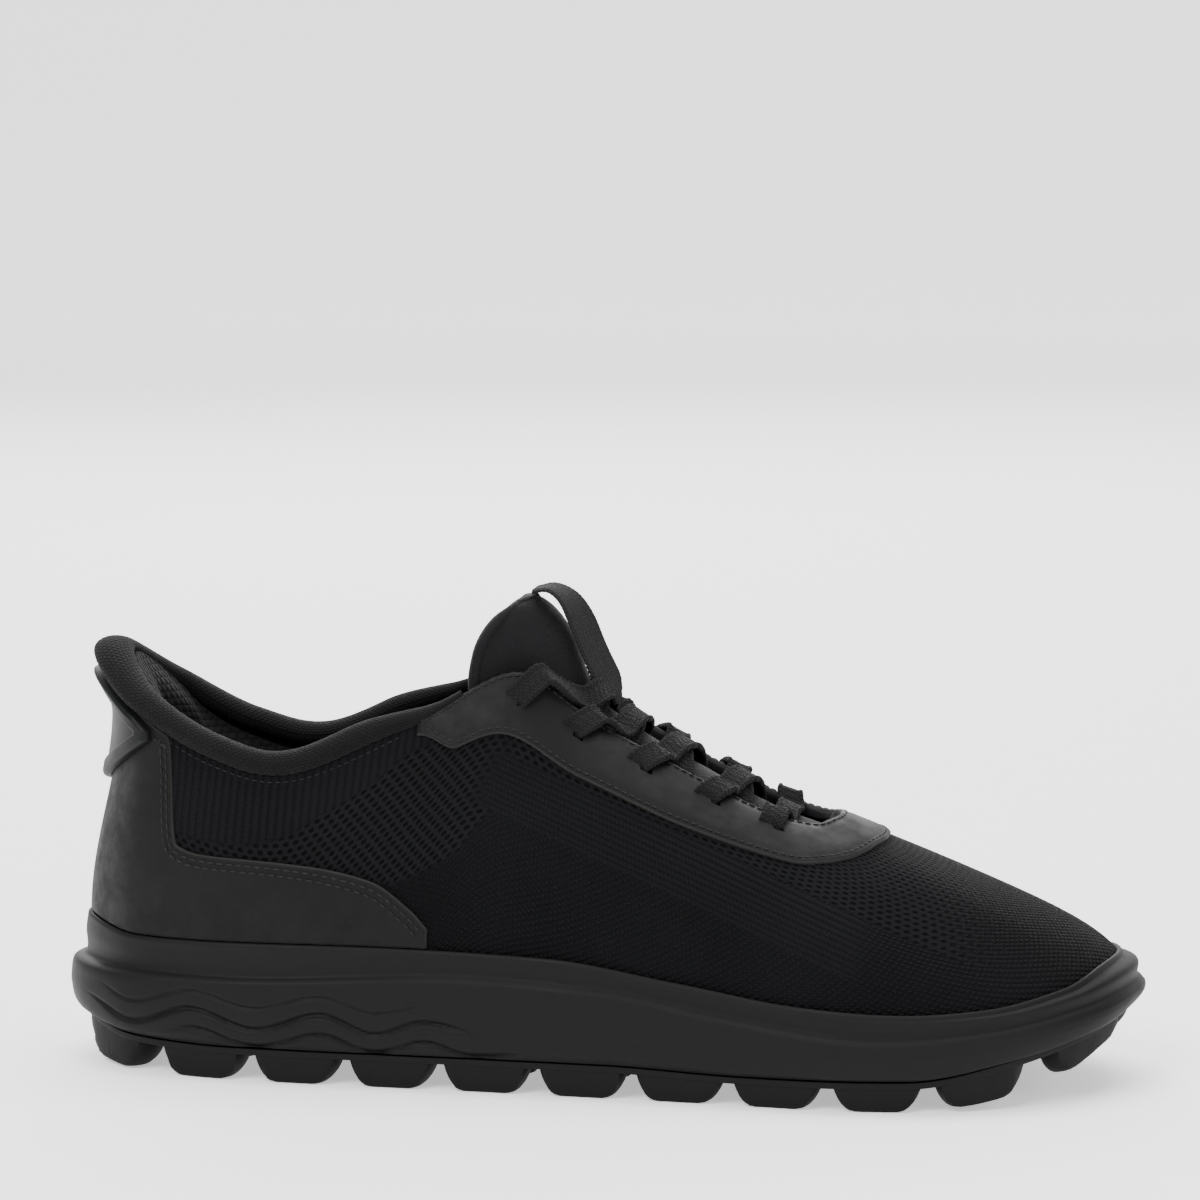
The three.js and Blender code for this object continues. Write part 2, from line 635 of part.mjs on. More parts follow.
// One flat elastic lace, criss-crossed from the outer top slot to the inner one: at each point
// of its route, the place of its middle and the direction of its width.
function laceRoute() {
  const route = [];
  const half = LACE_WALL / 2;
  const onTop = LAYER_GAP + OVERLAY_WALL + LACE_LIFT + half;
  const beneath = -KNIT_WALL - LAYER_GAP - GAP - half;
  const lying = LAYER_GAP + GAP + half; // above the tongue, where the lace lies on it
  const humped = lying + LACE_WALL + GAP; // and where it passes over another strand
  const atSlot = (side, slot, rise, offset) => {
    const station = -side * slotStations[slot]; // stations count up along the lateral side
    const along = new THREE.Vector3().setFromMatrixColumn(slotFrame(station), 0);
    route.push({ at: offSkin(station, rise, offset), across: along.x > 0 ? along : along.negate() });
  };
  const runOnTop = [[SLOT_RISE, 0], [SLOT_RISE + 0.012, onTop - 0.2], [SLOT_RISE + 0.05, onTop],
    [0.95, onTop + 0.1], [1, onTop + 0.4]];
  const runBeneath = [[SLOT_RISE, -0.6], [SLOT_RISE + 0.012, beneath + 0.4], [SLOT_RISE + 0.05, beneath],
    [0.95, beneath - 0.1], [1, beneath - 0.3]];
  // A strand leaves a slot on one run, crosses the tongue, and goes into a slot by another.
  const strand = (side, from, fromRun, to, toRun, height) => {
    for (const [rise, offset] of fromRun) atSlot(side, from, rise, offset);
    for (const share of [0.18, 0.34, 0.5, 0.66, 0.82]) {
      const start = tongueAbreast(slotStations[from]);
      const along = start + (tongueAbreast(slotStations[to]) - start) * share;
      const across = side * (1 - 2 * share) * LACE_REACH;
      const nearTop = share < 0.5 ? fromRun === runOnTop : toRun === runOnTop;
      const bridge = nearTop ? LACE_BRIDGE * Math.abs(2 * share - 1) ** 2 : 0;
      const hump = (height - lying) * Math.min(2.2 * (1 - Math.abs(2 * share - 1)), 1);
      const above = lying + hump + bridge;
      const at = onTongue(along, across).addScaledVector(tongueNormal(along, across), above);
      const downTongue = onTongue(along - 0.02, across).sub(onTongue(along + 0.02, across));
      route.push({ at, across: downTongue.normalize() });
    }
    for (const [rise, offset] of [...toRun].reverse()) atSlot(-side, to, rise, offset);
    route.pop();
  };
  const last = SLOTS_PER_SIDE - 1;
  atSlot(-1, 0, SLOT_RISE + 0.07, beneath);
  atSlot(-1, 0, SLOT_RISE + 0.035, beneath);
  let side = -1;
  for (let slot = 0; slot < last; slot += 1) {
    strand(side, slot, runOnTop, slot + 1, runBeneath, side < 0 ? humped : lying);
    side = -side;
  }
  strand(side, last, runOnTop, last, runOnTop, lying);
  side = -side;
  for (let slot = last; slot > 0; slot -= 1) {
    strand(side, slot, runBeneath, slot - 1, runOnTop, side > 0 ? humped : lying);
    side = -side;
  }
  atSlot(side, 0, SLOT_RISE, 0);
  atSlot(side, 0, SLOT_RISE + 0.035, beneath);
  atSlot(side, 0, SLOT_RISE + 0.07, beneath);
  return route;
}

function lace() {
  const route = laceRoute();
  const sections = route.map(({ at, across }, n) => {
    const before = route[Math.max(n - 1, 0)].at;
    const after = route[Math.min(n + 1, route.length - 1)].at;
    const ahead = after.clone().sub(before).normalize();
    const wide = across.clone().addScaledVector(ahead, -across.dot(ahead)).normalize();
    const thick = wide.clone().cross(ahead);
    const corner = (w, t) => at.clone()
      .addScaledVector(wide, (w * LACE_WIDTH) / 2)
      .addScaledVector(thick, (t * LACE_WALL) / 2);
    return [corner(-1, 0), corner(-0.7, 1), corner(0.7, 1), corner(1, 0), corner(0.7, -1), corner(-0.7, -1)];
  });
  return capped(sections);
}

// ---------------------------------------------------------------- colours and the finished shoe

const BLACK_KNIT = { color: 0x141417, roughness: 0.95, metalness: 0 };
const DARK_OVERLAY = { color: 0x27272a, roughness: 0.65, metalness: 0 };
const FOAM = { color: 0x303033, roughness: 0.9, metalness: 0 };
const SOLE = { color: 0x2b2a2b, roughness: 0.7, metalness: 0 };

const shoe = new THREE.Group();
const add = (name, geometry, look) => {
  const mesh = new THREE.Mesh(geometry, new THREE.MeshStandardMaterial(look));
  mesh.name = name;
  shoe.add(mesh);
};

add("outsole", outsole(), SOLE);
add("midsole", midsole(), SOLE);
add("strobel_board", strobelBoard(), FOAM);
add("insole", insole(), FOAM);
add("insole_cover", insoleCover(), BLACK_KNIT);
add("upper_knit", upperKnit(), BLACK_KNIT);
add("toe_puff", toePuff(), FOAM);
add("heel_counter", heelCounter(), FOAM);
add("lining", lining(), BLACK_KNIT);
add("collar_foam", collarFoam(), FOAM);
add("collar_roll", collarRoll(), BLACK_KNIT);
add("heel_wrap", heelWrap(), DARK_OVERLAY);
add("heel_tab", heelTab(), DARK_OVERLAY);
add("eyestay", eyestay(), DARK_OVERLAY);
add("tongue_cover", tongueCover(), BLACK_KNIT);
add("tongue_foam", tongueFoam(), FOAM);
add("tongue_lining", tongueLining(), BLACK_KNIT);
add("pull_loop", pullLoop(), DARK_OVERLAY);
add("elastic_lace", lace(), BLACK_KNIT);

// The origin goes under the middle of the shoe's box, on the ground.
const box = new THREE.Box3().setFromObject(shoe);
const centre = box.getCenter(new THREE.Vector3());
shoe.position.set(-centre.x, -centre.y, -box.min.z);

export default shoe;
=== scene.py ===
"""The look of a low knit slip-on sneaker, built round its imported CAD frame.

Shapes are worked out in millimetres in the part's own coordinates (+X to the toe, +Z up,
outer side -Y), on the same skin as the CAD, and moved into the row frame in metres at the end.
"""
import math

import bmesh
import bpy
import numpy as np
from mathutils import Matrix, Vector


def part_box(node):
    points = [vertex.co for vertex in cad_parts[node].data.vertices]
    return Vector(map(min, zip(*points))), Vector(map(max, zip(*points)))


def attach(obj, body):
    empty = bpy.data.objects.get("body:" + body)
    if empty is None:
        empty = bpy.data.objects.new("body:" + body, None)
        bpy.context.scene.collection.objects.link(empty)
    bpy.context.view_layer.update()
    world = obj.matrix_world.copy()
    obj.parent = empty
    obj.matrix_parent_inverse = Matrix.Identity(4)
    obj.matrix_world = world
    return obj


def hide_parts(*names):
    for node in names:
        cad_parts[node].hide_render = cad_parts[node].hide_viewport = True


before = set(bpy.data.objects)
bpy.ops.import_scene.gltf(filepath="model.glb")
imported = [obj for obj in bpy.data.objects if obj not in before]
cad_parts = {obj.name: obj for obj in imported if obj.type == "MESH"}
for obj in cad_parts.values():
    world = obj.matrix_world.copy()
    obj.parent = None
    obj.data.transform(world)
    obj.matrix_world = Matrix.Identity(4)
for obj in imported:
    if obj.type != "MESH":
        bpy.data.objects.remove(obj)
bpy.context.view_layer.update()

# ---------------------------------------------------------------- sizes in millimetres

# As the CAD has them.
GAP = 0.3
LAYER_GAP = 0.5
KNIT_WALL = 2.0
OVERLAY_WALL = 1.0
STIFFENER_WALL = 1.0
LINING_WALL = 0.8
COLLAR_PAD = 5.0
RIM_DEPTH = 8.0
RIM_WALL = 2.2
SIDEWALL_FLARE = 2.6
HEEL_FLARE = 2.6
BOARD_WALL = 1.6
INSOLE_WALL = 4.5
INSOLE_EDGE = 10.0
COVER_WALL = 0.6
POD_COUNT = 11
POD_WIDTH = 20.0
POD_SPACE = 2.4
TONGUE_COVER_WALL = 0.9
TONGUE_FOAM_WALL = 3.0
TONGUE_BULGE = 0.05
LOOP_WIDTH = 13.0
LOOP_END_WIDTH = 6.0
LOOP_WALL = 1.2
LACE_REACH = 0.72  # how far out across the tongue a strand leaves it, as a share of its half width
SLOT_RISE = 0.86
SLOT_STATIONS = np.linspace(5.95, 3, 5)

# The look's own: the lace is broader and thicker than the CAD's, and lies closer to the shoe.
LACE_WIDTH = 7.2
LACE_WALL = 2.0
LACE_LIFT = 0.5  # of the lace over the eyestay
LACE_BRIDGE = 1.6  # of the lace over the tongue, where it comes down from the eyestay
LACE_LEAN = 0.6  # of a strand that comes out of its hole, in radians
SLOT_SHIFT = 0.11  # of each hole towards the toe, in stations
SLOT_HALF_LENGTH = LACE_WIDTH * 0.22
SLOT_HALF_HEIGHT = 1.2
EDGE_RISE = 0.985  # where overlays and lining end, just short of the opening's edge
OVERLAY_BASE = 0.02  # from the knit to an overlay's back
OUTER_GROWTH = 7  # an edge pod runs out past the outline, which cuts it flush with the sidewall

# ---------------------------------------------------------------- curves


def profile(points):
    """A smooth curve through [x, value] points, level beyond its ends."""
    xs, ys = np.array(points, float).T
    rate = np.diff(ys) / np.diff(xs)
    before, after = rate[:-1], rate[1:]
    total = np.where(before + after == 0, 1, before + after)
    slope = np.zeros_like(ys)
    slope[1:-1] = np.where(before * after > 0, 2 * before * after / total, 0)

    def at(x):
        x = np.clip(np.asarray(x, float), xs[0], xs[-1])
        i = np.clip(np.searchsorted(xs, x, side="right") - 1, 0, len(xs) - 2)
        width = xs[i + 1] - xs[i]
        t = (x - xs[i]) / width
        bend = t * t * (3 - 2 * t)
        lean = slope[i] * t * (1 - t) ** 2 - slope[i + 1] * t * t * (1 - t)
        return ys[i] + (ys[i + 1] - ys[i]) * bend + width * lean

    return at


def smoothstep(x, low, high):
    t = np.clip((np.asarray(x, float) - low) / (high - low), 0, 1)
    return t * t * (3 - 2 * t)


def catmull(points, t, closed=False):
    """The Catmull-Rom curve through points; t counts points from the first."""
    points = np.asarray(points, float)
    n = len(points)
    t = np.asarray(t, float)
    i = np.floor(t).astype(int)
    if closed:
        w = (t - i)[..., None]
        p0, p1, p2, p3 = (points[(i + k) % n] for k in (-1, 0, 1, 2))
    else:
        i = np.clip(i, 0, n - 2)
        w = (t - i)[..., None]
        ahead = 2 * points[0] - points[1]
        beyond = 2 * points[-1] - points[-2]
        grown = np.vstack([ahead, points, beyond])
        p0, p1, p2, p3 = (grown[i + k] for k in (0, 1, 2, 3))
    m1, m2 = (p2 - p0) / 2, (p3 - p1) / 2
    return p1 + m1 * w + (3 * (p2 - p1) - 2 * m1 - m2) * w**2 + (2 * (p1 - p2) + m1 + m2) * w**3


def unit(v):
    return v / np.maximum(np.linalg.norm(v, axis=-1, keepdims=True), 1e-12)


rim_top = profile([[-146, 41], [-125, 38.4], [-60, 39], [-10, 38], [29, 32.6], [61, 28],
                   [90, 26.4], [112, 27.4], [132, 31], [148, 36]])
ridge = profile([[-146, 28], [-100, 28], [-33, 31], [10, 28.8], [40, 23.6], [83, 19],
                 [112, 21], [134, 24.6], [150, 28]])
pod_line = profile([[-150, 13], [-128, 9.6], [-98, 8.6], [7, 8.6], [45, 7.4], [90, 7.7],
                    [119, 13], [139, 19], [150, 25]])
tread = profile([[-150, 5], [-140, 1.5], [-122, 0], [86, 0], [105, 1.4], [131, 8], [150, 18]])

# ---------------------------------------------------------------- the skin of the upper

# foot x and half widths; opening's edge; how the wall leaves its foot; how it arrives at the edge
STATIONS = [
    ([146.5, 5, 5], [65, 0, 73], [1, 0, 14], [45, 0, -20]),
    ([137.5, 21, 28], [64, 6, 72.4], [1, 1, 16], [34, 16, -16]),
    ([111, 42, 43], [59, 12, 71.4], [0, 2, 20], [17, 19, -9]),
    ([76, 48.5, 45], [46, 14.5, 75.5], [0, 2, 26], [7, 19, -7]),
    ([34, 44.5, 39], [24, 15.5, 86.8], [0, 2, 32], [2, 19, -9]),
    ([0, 41.5, 35.5], [0, 16.5, 100], [0, 2, 38], [-1, 18, -12]),
    ([-30, 39, 34.5], [-20, 19.5, 113.5], [0, 2, 40], [-3, 14, -20]),
    ([-54, 37.5, 34.5], [-46, 26, 101], [0, 2, 36], [-1, 9, -24]),
    ([-82, 35.5, 34], [-80, 30, 85.5], [0, 2.5, 26], [0, 6, -18]),
    ([-108, 31.5, 31], [-104, 29, 89], [0, 3, 24], [0, 4, -16]),
    ([-130, 22, 22], [-126, 22, 101.5], [-2, 3, 26], [4, 1, -18]),
    ([-143.5, 0, 0], [-137, 0, 113.5], [-3, 0, 28], [8, 0, -25]),
]
HALF = len(STATIONS) - 1
ROUND = 2 * HALF


def control_loops():
    loops = [[], [], [], []]
    for n in range(ROUND):
        lateral = n <= HALF
        foot, edge, wall, shoulder = STATIONS[n if lateral else ROUND - n]
        side = -1 if lateral else 1
        middle = 1 if n == 0 else side
        start = np.array([foot[0], middle * foot[1 if lateral else 2], rim_top(foot[0]) - RIM_DEPTH])
        end = np.array([edge[0], side * edge[1], edge[2]])
        loops[0].append(start)
        loops[1].append(start + [wall[0], side * wall[1], wall[2]])
        loops[2].append(end + [shoulder[0], side * shoulder[1], shoulder[2]])
        loops[3].append(end)
    return np.array(loops, float)


CONTROLS = control_loops()


def on_skin(station, rise):
    """A point of the skin: station runs once round from the toe, rise from the foot (0) to the edge (1)."""
    station, rise = np.broadcast_arrays(np.asarray(station, float), np.asarray(rise, float))
    foot, wall, shoulder, edge = (catmull(loop, station % ROUND, True) for loop in CONTROLS)
    r = rise[..., None]
    b = 1 - r
    return foot * b**3 + wall * 3 * b * b * r + shoulder * 3 * b * r * r + edge * r**3


def outward(station, rise):
    station, rise = np.broadcast_arrays(np.asarray(station, float), np.asarray(rise, float))
    step = 0.02
    around = on_skin(station + step, rise) - on_skin(station - step, rise)
    up = on_skin(station, np.minimum(rise + step, 1)) - on_skin(station, np.maximum(rise - step, 0))
    return unit(np.cross(up, around))


def off_skin(station, rise, offset):
    offset = np.asarray(offset, float)
    return on_skin(station, rise) + outward(station, rise) * offset[..., None]


def rise_at(station, height):
    """The rise at which the skin reaches a height."""
    station, height = np.broadcast_arrays(np.asarray(station, float), np.asarray(height, float))
    low, high = np.zeros(station.shape), np.ones(station.shape)
    for _ in range(22):
        middle = (low + high) / 2
        under = on_skin(station, middle)[..., 2] < height
        low, high = np.where(under, middle, low), np.where(under, high, middle)
    return (low + high) / 2


def from_heel(station):
    return np.abs(np.asarray(station, float) % ROUND - HALF)


def from_toe(station):
    return HALF - from_heel(station)


# The part's own coordinates lie this far from the row frame's, read from a node that both have.
cad_low = np.array(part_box("upper_knit")[0]) * 1000
own = on_skin(*np.meshgrid(np.arange(0, ROUND, 0.5), np.linspace(0, 1, 11), indexing="ij"))
SHIFT = np.array([cad_low[0] - own[..., 0].min(), cad_low[1] - own[..., 1].min(), 0])

# ---------------------------------------------------------------- meshes


def ring_faces(index):
    """Quads between neighbouring rows of a grid of indices whose columns run round."""
    after = np.roll(index, -1, axis=1)
    return np.stack([index[:-1], after[:-1], after[1:], index[1:]], -1).reshape(-1, 4)


def capped_faces(index):
    return ring_faces(index).tolist() + [index[0][::-1].tolist(), index[-1].tolist()]


def around_once(sides):
    return np.linspace(0, 2 * math.pi, sides, endpoint=False)


def together(*values):
    """One array of vectors from their components, which may be smaller grids or numbers."""
    return np.stack(np.broadcast_arrays(*values), -1)


def make_mesh(name, points, faces, attributes=None, merge=0.0, body="shoe", sharp=50):
    """An object from points in millimetres in the part's coordinates."""
    mesh = bpy.data.meshes.new(name)
    metres = (np.asarray(points, float).reshape(-1, 3) + SHIFT) / 1000
    mesh.from_pydata(metres.tolist(), [], [list(f) for f in faces])
    for key, values in (attributes or {}).items():
        values = np.asarray(values, float)
        kind = "FLOAT_VECTOR" if values.ndim == 2 else "FLOAT"
        layer = mesh.attributes.new(key, kind, "POINT")
        layer.data.foreach_set("vector" if kind == "FLOAT_VECTOR" else "value", values.ravel())
    work = bmesh.new()
    work.from_mesh(mesh)
    if merge:
        bmesh.ops.remove_doubles(work, verts=work.verts, dist=merge / 1000)
        bmesh.ops.dissolve_degenerate(work, edges=work.edges, dist=1e-7)
        bmesh.ops.recalc_face_normals(work, faces=work.faces)
    work.to_mesh(mesh)
    work.free()
    mesh.polygons.foreach_set("use_smooth", [True] * len(mesh.polygons))
    mesh.set_sharp_from_angle(angle=math.radians(sharp))
    made = bpy.data.objects.new(name, mesh)
    bpy.context.scene.collection.objects.link(made)
    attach(made, body)
    return made


def face_outward(made):
    work = bmesh.new()
    work.from_mesh(made.data)
    bmesh.ops.recalc_face_normals(work, faces=work.faces)
    work.to_mesh(made.data)
    work.free()
    return made


def shell(name, outer, inner, closed=False, missing=None, attributes=None, **kw):
    """A sheet with thickness between two grids of points, with holes where cells are missing."""
    nu, nv = outer.shape[:2]
    count = nu * nv
    index = np.arange(count).reshape(nu, nv)
    cells = np.ones((nu if closed else nu - 1, nv - 1), bool)
    if missing is not None:
        cells &= ~missing[: cells.shape[0], : cells.shape[1]]
    u, v = np.nonzero(cells)
    u2 = (u + 1) % nu
    a, b, c, d = index[u, v], index[u, v + 1], index[u2, v + 1], index[u2, v]
    faces = [np.stack([a, b, c, d], 1), np.stack([d, c, b, a], 1) + count]
    mu = cells.shape[0]
    up = np.pad(cells, ((0, 0), (1, 1)))
    gone_below, gone_above = ~up[u, v], ~up[u, v + 2]
    if closed:
        gone_before, gone_after = ~cells[(u - 1) % mu, v], ~cells[(u + 1) % mu, v]
    else:
        wide = np.pad(cells, ((1, 1), (0, 0)))
        gone_before, gone_after = ~wide[u, v], ~wide[u + 2, v]
    for gone, p, q in ((gone_before, a, b), (gone_above, b, c), (gone_after, c, d), (gone_below, d, a)):
        p, q = p[gone], q[gone]
        faces.append(np.stack([q, p, p + count, q + count], 1))
    both = {k: np.concatenate([x.reshape(count, -1).squeeze()] * 2) for k, x in (attributes or {}).items()}
    points = np.concatenate([outer.reshape(-1, 3), inner.reshape(-1, 3)])
    return make_mesh(name, points, np.concatenate(faces).tolist(), both, **kw)


def tube(name, sections, weave, **kw):
    """A skin over closed sections, with flat caps."""
    count = sections.shape[0] * sections.shape[1]
    faces = capped_faces(np.arange(count).reshape(sections.shape[:2]))
    return face_outward(make_mesh(name, sections, faces, {"weave": weave.reshape(count, 3)}, **kw))


def arc_lengths(points, axis):
    """Length along a grid of points, counted from its first row along an axis."""
    steps = np.linalg.norm(np.diff(points, axis=axis), axis=-1)
    shape = list(steps.shape)
    shape[axis] = 1
    return np.concatenate([np.zeros(shape), np.cumsum(steps, axis=axis)], axis=axis)


def at_lengths(wanted, length, points):
    """The points of a polyline at the wanted lengths along it."""
    return np.stack([np.interp(wanted, length, column) for column in points.T], 1)


def smoothed(values, passes):
    for _ in range(passes):
        values[1:-1] = (values[:-2] + 2 * values[1:-1] + values[2:]) / 4
    return values


def rounded(distance, radius):
    """How far a face drops at a distance from its rounded edge."""
    t = np.clip(1 - distance / radius, 0, 1)
    return radius * (1 - np.sqrt(1 - t * t))


def even_with_edges(length, spacing, edge=(0, 0.25, 0.55, 0.95)):
    """Fractions along a length: close together at both ends, then even."""
    ends = np.array(edge) / length
    inner = np.linspace(ends[-1], 1 - ends[-1], max(int(length / spacing), 4))
    return np.concatenate([ends[:-1], inner, 1 - ends[:-1][::-1]])


def layer_grid(start, end, low, high, step=1 / 24, height=60, spacing=1.6):
    """Stations and rises of a piece that follows the skin, with the distance to its nearest edge."""
    closed = end - start == ROUND
    stations = np.linspace(start, end, int(round((end - start) / step)) + 1)
    if closed:
        stations = stations[:-1]
    share = even_with_edges(height, spacing)
    s, f = np.meshgrid(stations, share, indexing="ij")
    lows, highs = low(s), high(s)
    rise = lows + (highs - lows) * f
    skin = on_skin(s, rise)
    up = arc_lengths(skin, 1)
    edge = np.minimum(up, up[:, -1:] - up)
    if not closed:
        along = arc_lengths(skin, 0)
        edge = np.minimum(edge, np.minimum(along, along[-1:] - along))
    return s, rise, edge, up


def constant(value):
    return lambda s: np.full(np.shape(s), float(value))


# ---------------------------------------------------------------- materials


class Look:
    """A procedural material, with short names for the nodes it needs."""

    def __init__(self, name, **constants):
        self.material = bpy.data.materials.new(name)
        self.material.use_nodes = True
        self.tree = self.material.node_tree
        self.shader = self.tree.nodes["Principled BSDF"]
        for key, value in constants.items():
            self.shader.inputs[key.replace("_", " ")].default_value = value
        self.bump_normal = None

    def link(self, value, socket):
        if isinstance(value, (int, float)):
            socket.default_value = value
        elif isinstance(value, tuple):
            socket.default_value = (*value, 1)
        else:
            self.tree.links.new(value, socket)

    def attribute(self, name, output="Fac"):
        made = self.tree.nodes.new("ShaderNodeAttribute")
        made.attribute_name = name
        return made.outputs[output]

    def parts(self, name):
        made = self.tree.nodes.new("ShaderNodeSeparateXYZ")
        self.tree.links.new(self.attribute(name, "Vector"), made.inputs[0])
        return made.outputs

    def math(self, kind, *values):
        made = self.tree.nodes.new("ShaderNodeMath")
        made.operation = kind
        for socket, value in zip(made.inputs, values):
            self.link(value, socket)
        return made.outputs[0]

    def wave(self, value, pitch, power=1.0):
        """A ridge that rises and falls once each pitch, from 0 to 1."""
        turn = self.math("MULTIPLY", value, math.pi / pitch)
        ridge = self.math("ABSOLUTE", self.math("SINE", turn))
        return ridge if power == 1.0 else self.math("POWER", ridge, power)

    def noise(self, scale, detail, roughness=0.55):
        made = self.tree.nodes.new("ShaderNodeTexNoise")
        for name, value in (("Scale", scale), ("Detail", detail), ("Roughness", roughness)):
            made.inputs[name].default_value = value
        place = self.tree.nodes.new("ShaderNodeTexCoord").outputs["Object"]
        self.tree.links.new(place, made.inputs["Vector"])
        return made.outputs["Fac"]

    def span(self, value, low, high, to_low=0.0, to_high=1.0):
        made = self.tree.nodes.new("ShaderNodeMapRange")
        made.interpolation_type = "SMOOTHSTEP"
        for socket, v in zip(made.inputs, (value, low, high, to_low, to_high)):
            self.link(v, socket)
        return made.outputs[0]

    def mix(self, kind, factor, first, second):
        made = self.tree.nodes.new("ShaderNodeMix")
        made.data_type = kind
        for name, value in (("Factor", factor), ("A", first), ("B", second)):
            self.link(value, made.inputs[name])
        return made.outputs["Result"]

    def blend(self, factor, dark, light):
        return self.mix("RGBA", factor, dark, light)

    def lerp(self, factor, low, high):
        return self.mix("FLOAT", factor, low, high)

    def bump(self, height, depth_mm, strength):
        made = self.tree.nodes.new("ShaderNodeBump")
        made.inputs["Strength"].default_value = strength
        made.inputs["Distance"].default_value = depth_mm / 1000
        self.tree.links.new(height, made.inputs["Height"])
        if self.bump_normal:
            self.tree.links.new(self.bump_normal, made.inputs["Normal"])
        self.bump_normal = made.outputs[0]

    def finish(self, colour, roughness):
        self.link(colour, self.shader.inputs["Base Color"])
        self.link(roughness, self.shader.inputs["Roughness"])
        if self.bump_normal:
            self.tree.links.new(self.bump_normal, self.shader.inputs["Normal"])
        return self.material


def grey(value, warm=0.0):
    return (value * (1 + warm), value, value * (1 - warm))


def knit_look():
    """The upper's knit: ribs under the collar, open mesh below them, a smooth striped band, moss stitch."""
    look = Look("knit", Specular_IOR_Level=0.06, Sheen_Weight=0.012, Sheen_Roughness=0.4)
    along, down, across = look.parts("weave")
    ribs, mesh, band = look.parts("zones")
    rib = look.wave(along, 2.3, 0.7)
    rib_rows = look.wave(down, 1.3)
    rib_height = look.math("ADD", look.math("MULTIPLY", rib, 0.85), look.math("MULTIPLY", rib_rows, 0.15))
    row = look.math("DIVIDE", down, 1.9)
    shifted = look.math("ADD", along, look.math("MULTIPLY", look.math("FLOOR", row), 1.4))
    hole = look.math("MULTIPLY", look.wave(shifted, 2.8, 1.3), look.wave(down, 1.9, 1.1))
    mesh_height = look.math("SUBTRACT", 1.0, look.span(hole, 0.30, 0.86))
    stripe_height = look.math("ADD", look.math("MULTIPLY", look.wave(across, 1.5, 0.8), 0.7),
                              look.math("MULTIPLY", look.wave(along, 1.1), 0.3))
    slope = look.math("ADD", along, look.math("MULTIPLY", down, 1.25))
    counter = look.math("SUBTRACT", along, look.math("MULTIPLY", down, 1.25))
    moss_height = look.math("MULTIPLY", look.wave(slope, 2.1), look.wave(counter, 2.1))
    height = look.lerp(mesh, moss_height, mesh_height)
    height = look.lerp(band, height, stripe_height)
    height = look.lerp(ribs, height, rib_height)
    fibre = look.noise(3400, 3, 0.7)
    look.bump(height, 0.75, 1.0)
    look.bump(fibre, 0.18, 0.6)
    patch = look.noise(26, 4)
    # painted shade: the holes of the open mesh are painted near-black, where shade falls in them
    hole_painted_shade = look.math("MULTIPLY", mesh, look.span(hole, 0.35, 0.85))
    yarn = look.blend(look.span(patch, 0.3, 0.72), (0.0023, 0.0023, 0.0028), (0.0040, 0.0040, 0.0048))
    # painted highlight: the raised stitches are painted lighter by their height
    lit = look.blend(look.math("MULTIPLY", height, 0.55), yarn, (0.0071, 0.0071, 0.0082))
    colour = look.blend(look.math("MULTIPLY", hole_painted_shade, 0.9), lit, (0.0004, 0.0004, 0.0006))
    return look.finish(colour, look.span(fibre, 0.3, 0.7, 0.78, 0.95))


def overlay_look():
    """Smooth synthetic overlay with a paler cut edge and faint scuffs."""
    look = Look("overlay", Specular_IOR_Level=0.13)
    edge = look.attribute("edge")
    grain = look.noise(900, 4, 0.6)
    broad = look.noise(38, 4, 0.6)
    scuff = look.noise(160, 5, 0.7)
    look.bump(grain, 0.09, 0.55)
    look.bump(broad, 0.6, 0.3)
    base = look.blend(look.span(broad, 0.32, 0.7), (0.0028, 0.0027, 0.0027), (0.0042, 0.0040, 0.0039))
    worn = look.blend(look.span(scuff, 0.60, 0.78, 0.0, 0.35), base, (0.024, 0.0215, 0.020))
    raw = look.span(edge, 0.05, 0.55, 0.55, 0.0)
    colour = look.blend(raw, worn, (0.030, 0.029, 0.028))
    return look.finish(colour, look.span(scuff, 0.3, 0.75, 0.50, 0.68))


def rubber_look(name, dark, light, gloss=0.56):
    """Moulded rubber: a fine pitted skin with dust and rubbed patches."""
    look = Look(name, Specular_IOR_Level=0.13)
    pits = look.noise(1500, 3, 0.6)
    broad = look.noise(30, 5, 0.6)
    dust = look.noise(420, 6, 0.75)
    look.bump(pits, 0.07, 0.5)
    look.bump(broad, 0.5, 0.22)
    base = look.blend(look.span(broad, 0.3, 0.72), dark, light)
    colour = look.blend(look.span(dust, 0.66, 0.8, 0.0, 0.5), base, tuple(3.2 * c for c in light))
    return look.finish(colour, look.span(broad, 0.3, 0.7, gloss - 0.06, gloss + 0.1))


def textile_look(name, pitch_u, pitch_v, dark, light, depth, sheen=0.3, rough=0.9):
    """A close textile with rows of stitches on the piece's own weave coordinates."""
    look = Look(name, Specular_IOR_Level=0.12, Sheen_Weight=sheen * 0.08, Sheen_Roughness=0.4)
    u, v, _ = look.parts("weave")
    row = look.math("DIVIDE", v, pitch_v)
    shifted = look.math("ADD", u, look.math("MULTIPLY", look.math("FLOOR", row), pitch_u / 2))
    stitch = look.math("MULTIPLY", look.wave(shifted, pitch_u, 0.8), look.wave(v, pitch_v, 0.6))
    fibre = look.noise(3000, 3, 0.7)
    patch = look.noise(40, 4)
    look.bump(stitch, depth, 0.9)
    look.bump(fibre, 0.12, 0.5)
    yarn = look.blend(look.span(patch, 0.3, 0.7), dark, light)
    # painted highlight: the raised part of each stitch is painted lighter
    colour = look.blend(look.math("MULTIPLY", stitch, 0.5), yarn, tuple(1.8 * c for c in light))
    return look.finish(colour, look.span(fibre, 0.3, 0.7, rough - 0.1, min(rough + 0.06, 1)))


def thread_look():
    look = Look("thread", Specular_IOR_Level=0.2)
    fibre = look.noise(2600, 3)
    look.bump(fibre, 0.1, 0.6)
    return look.finish(look.blend(fibre, grey(0.004), grey(0.011, 0.02)), 0.6)


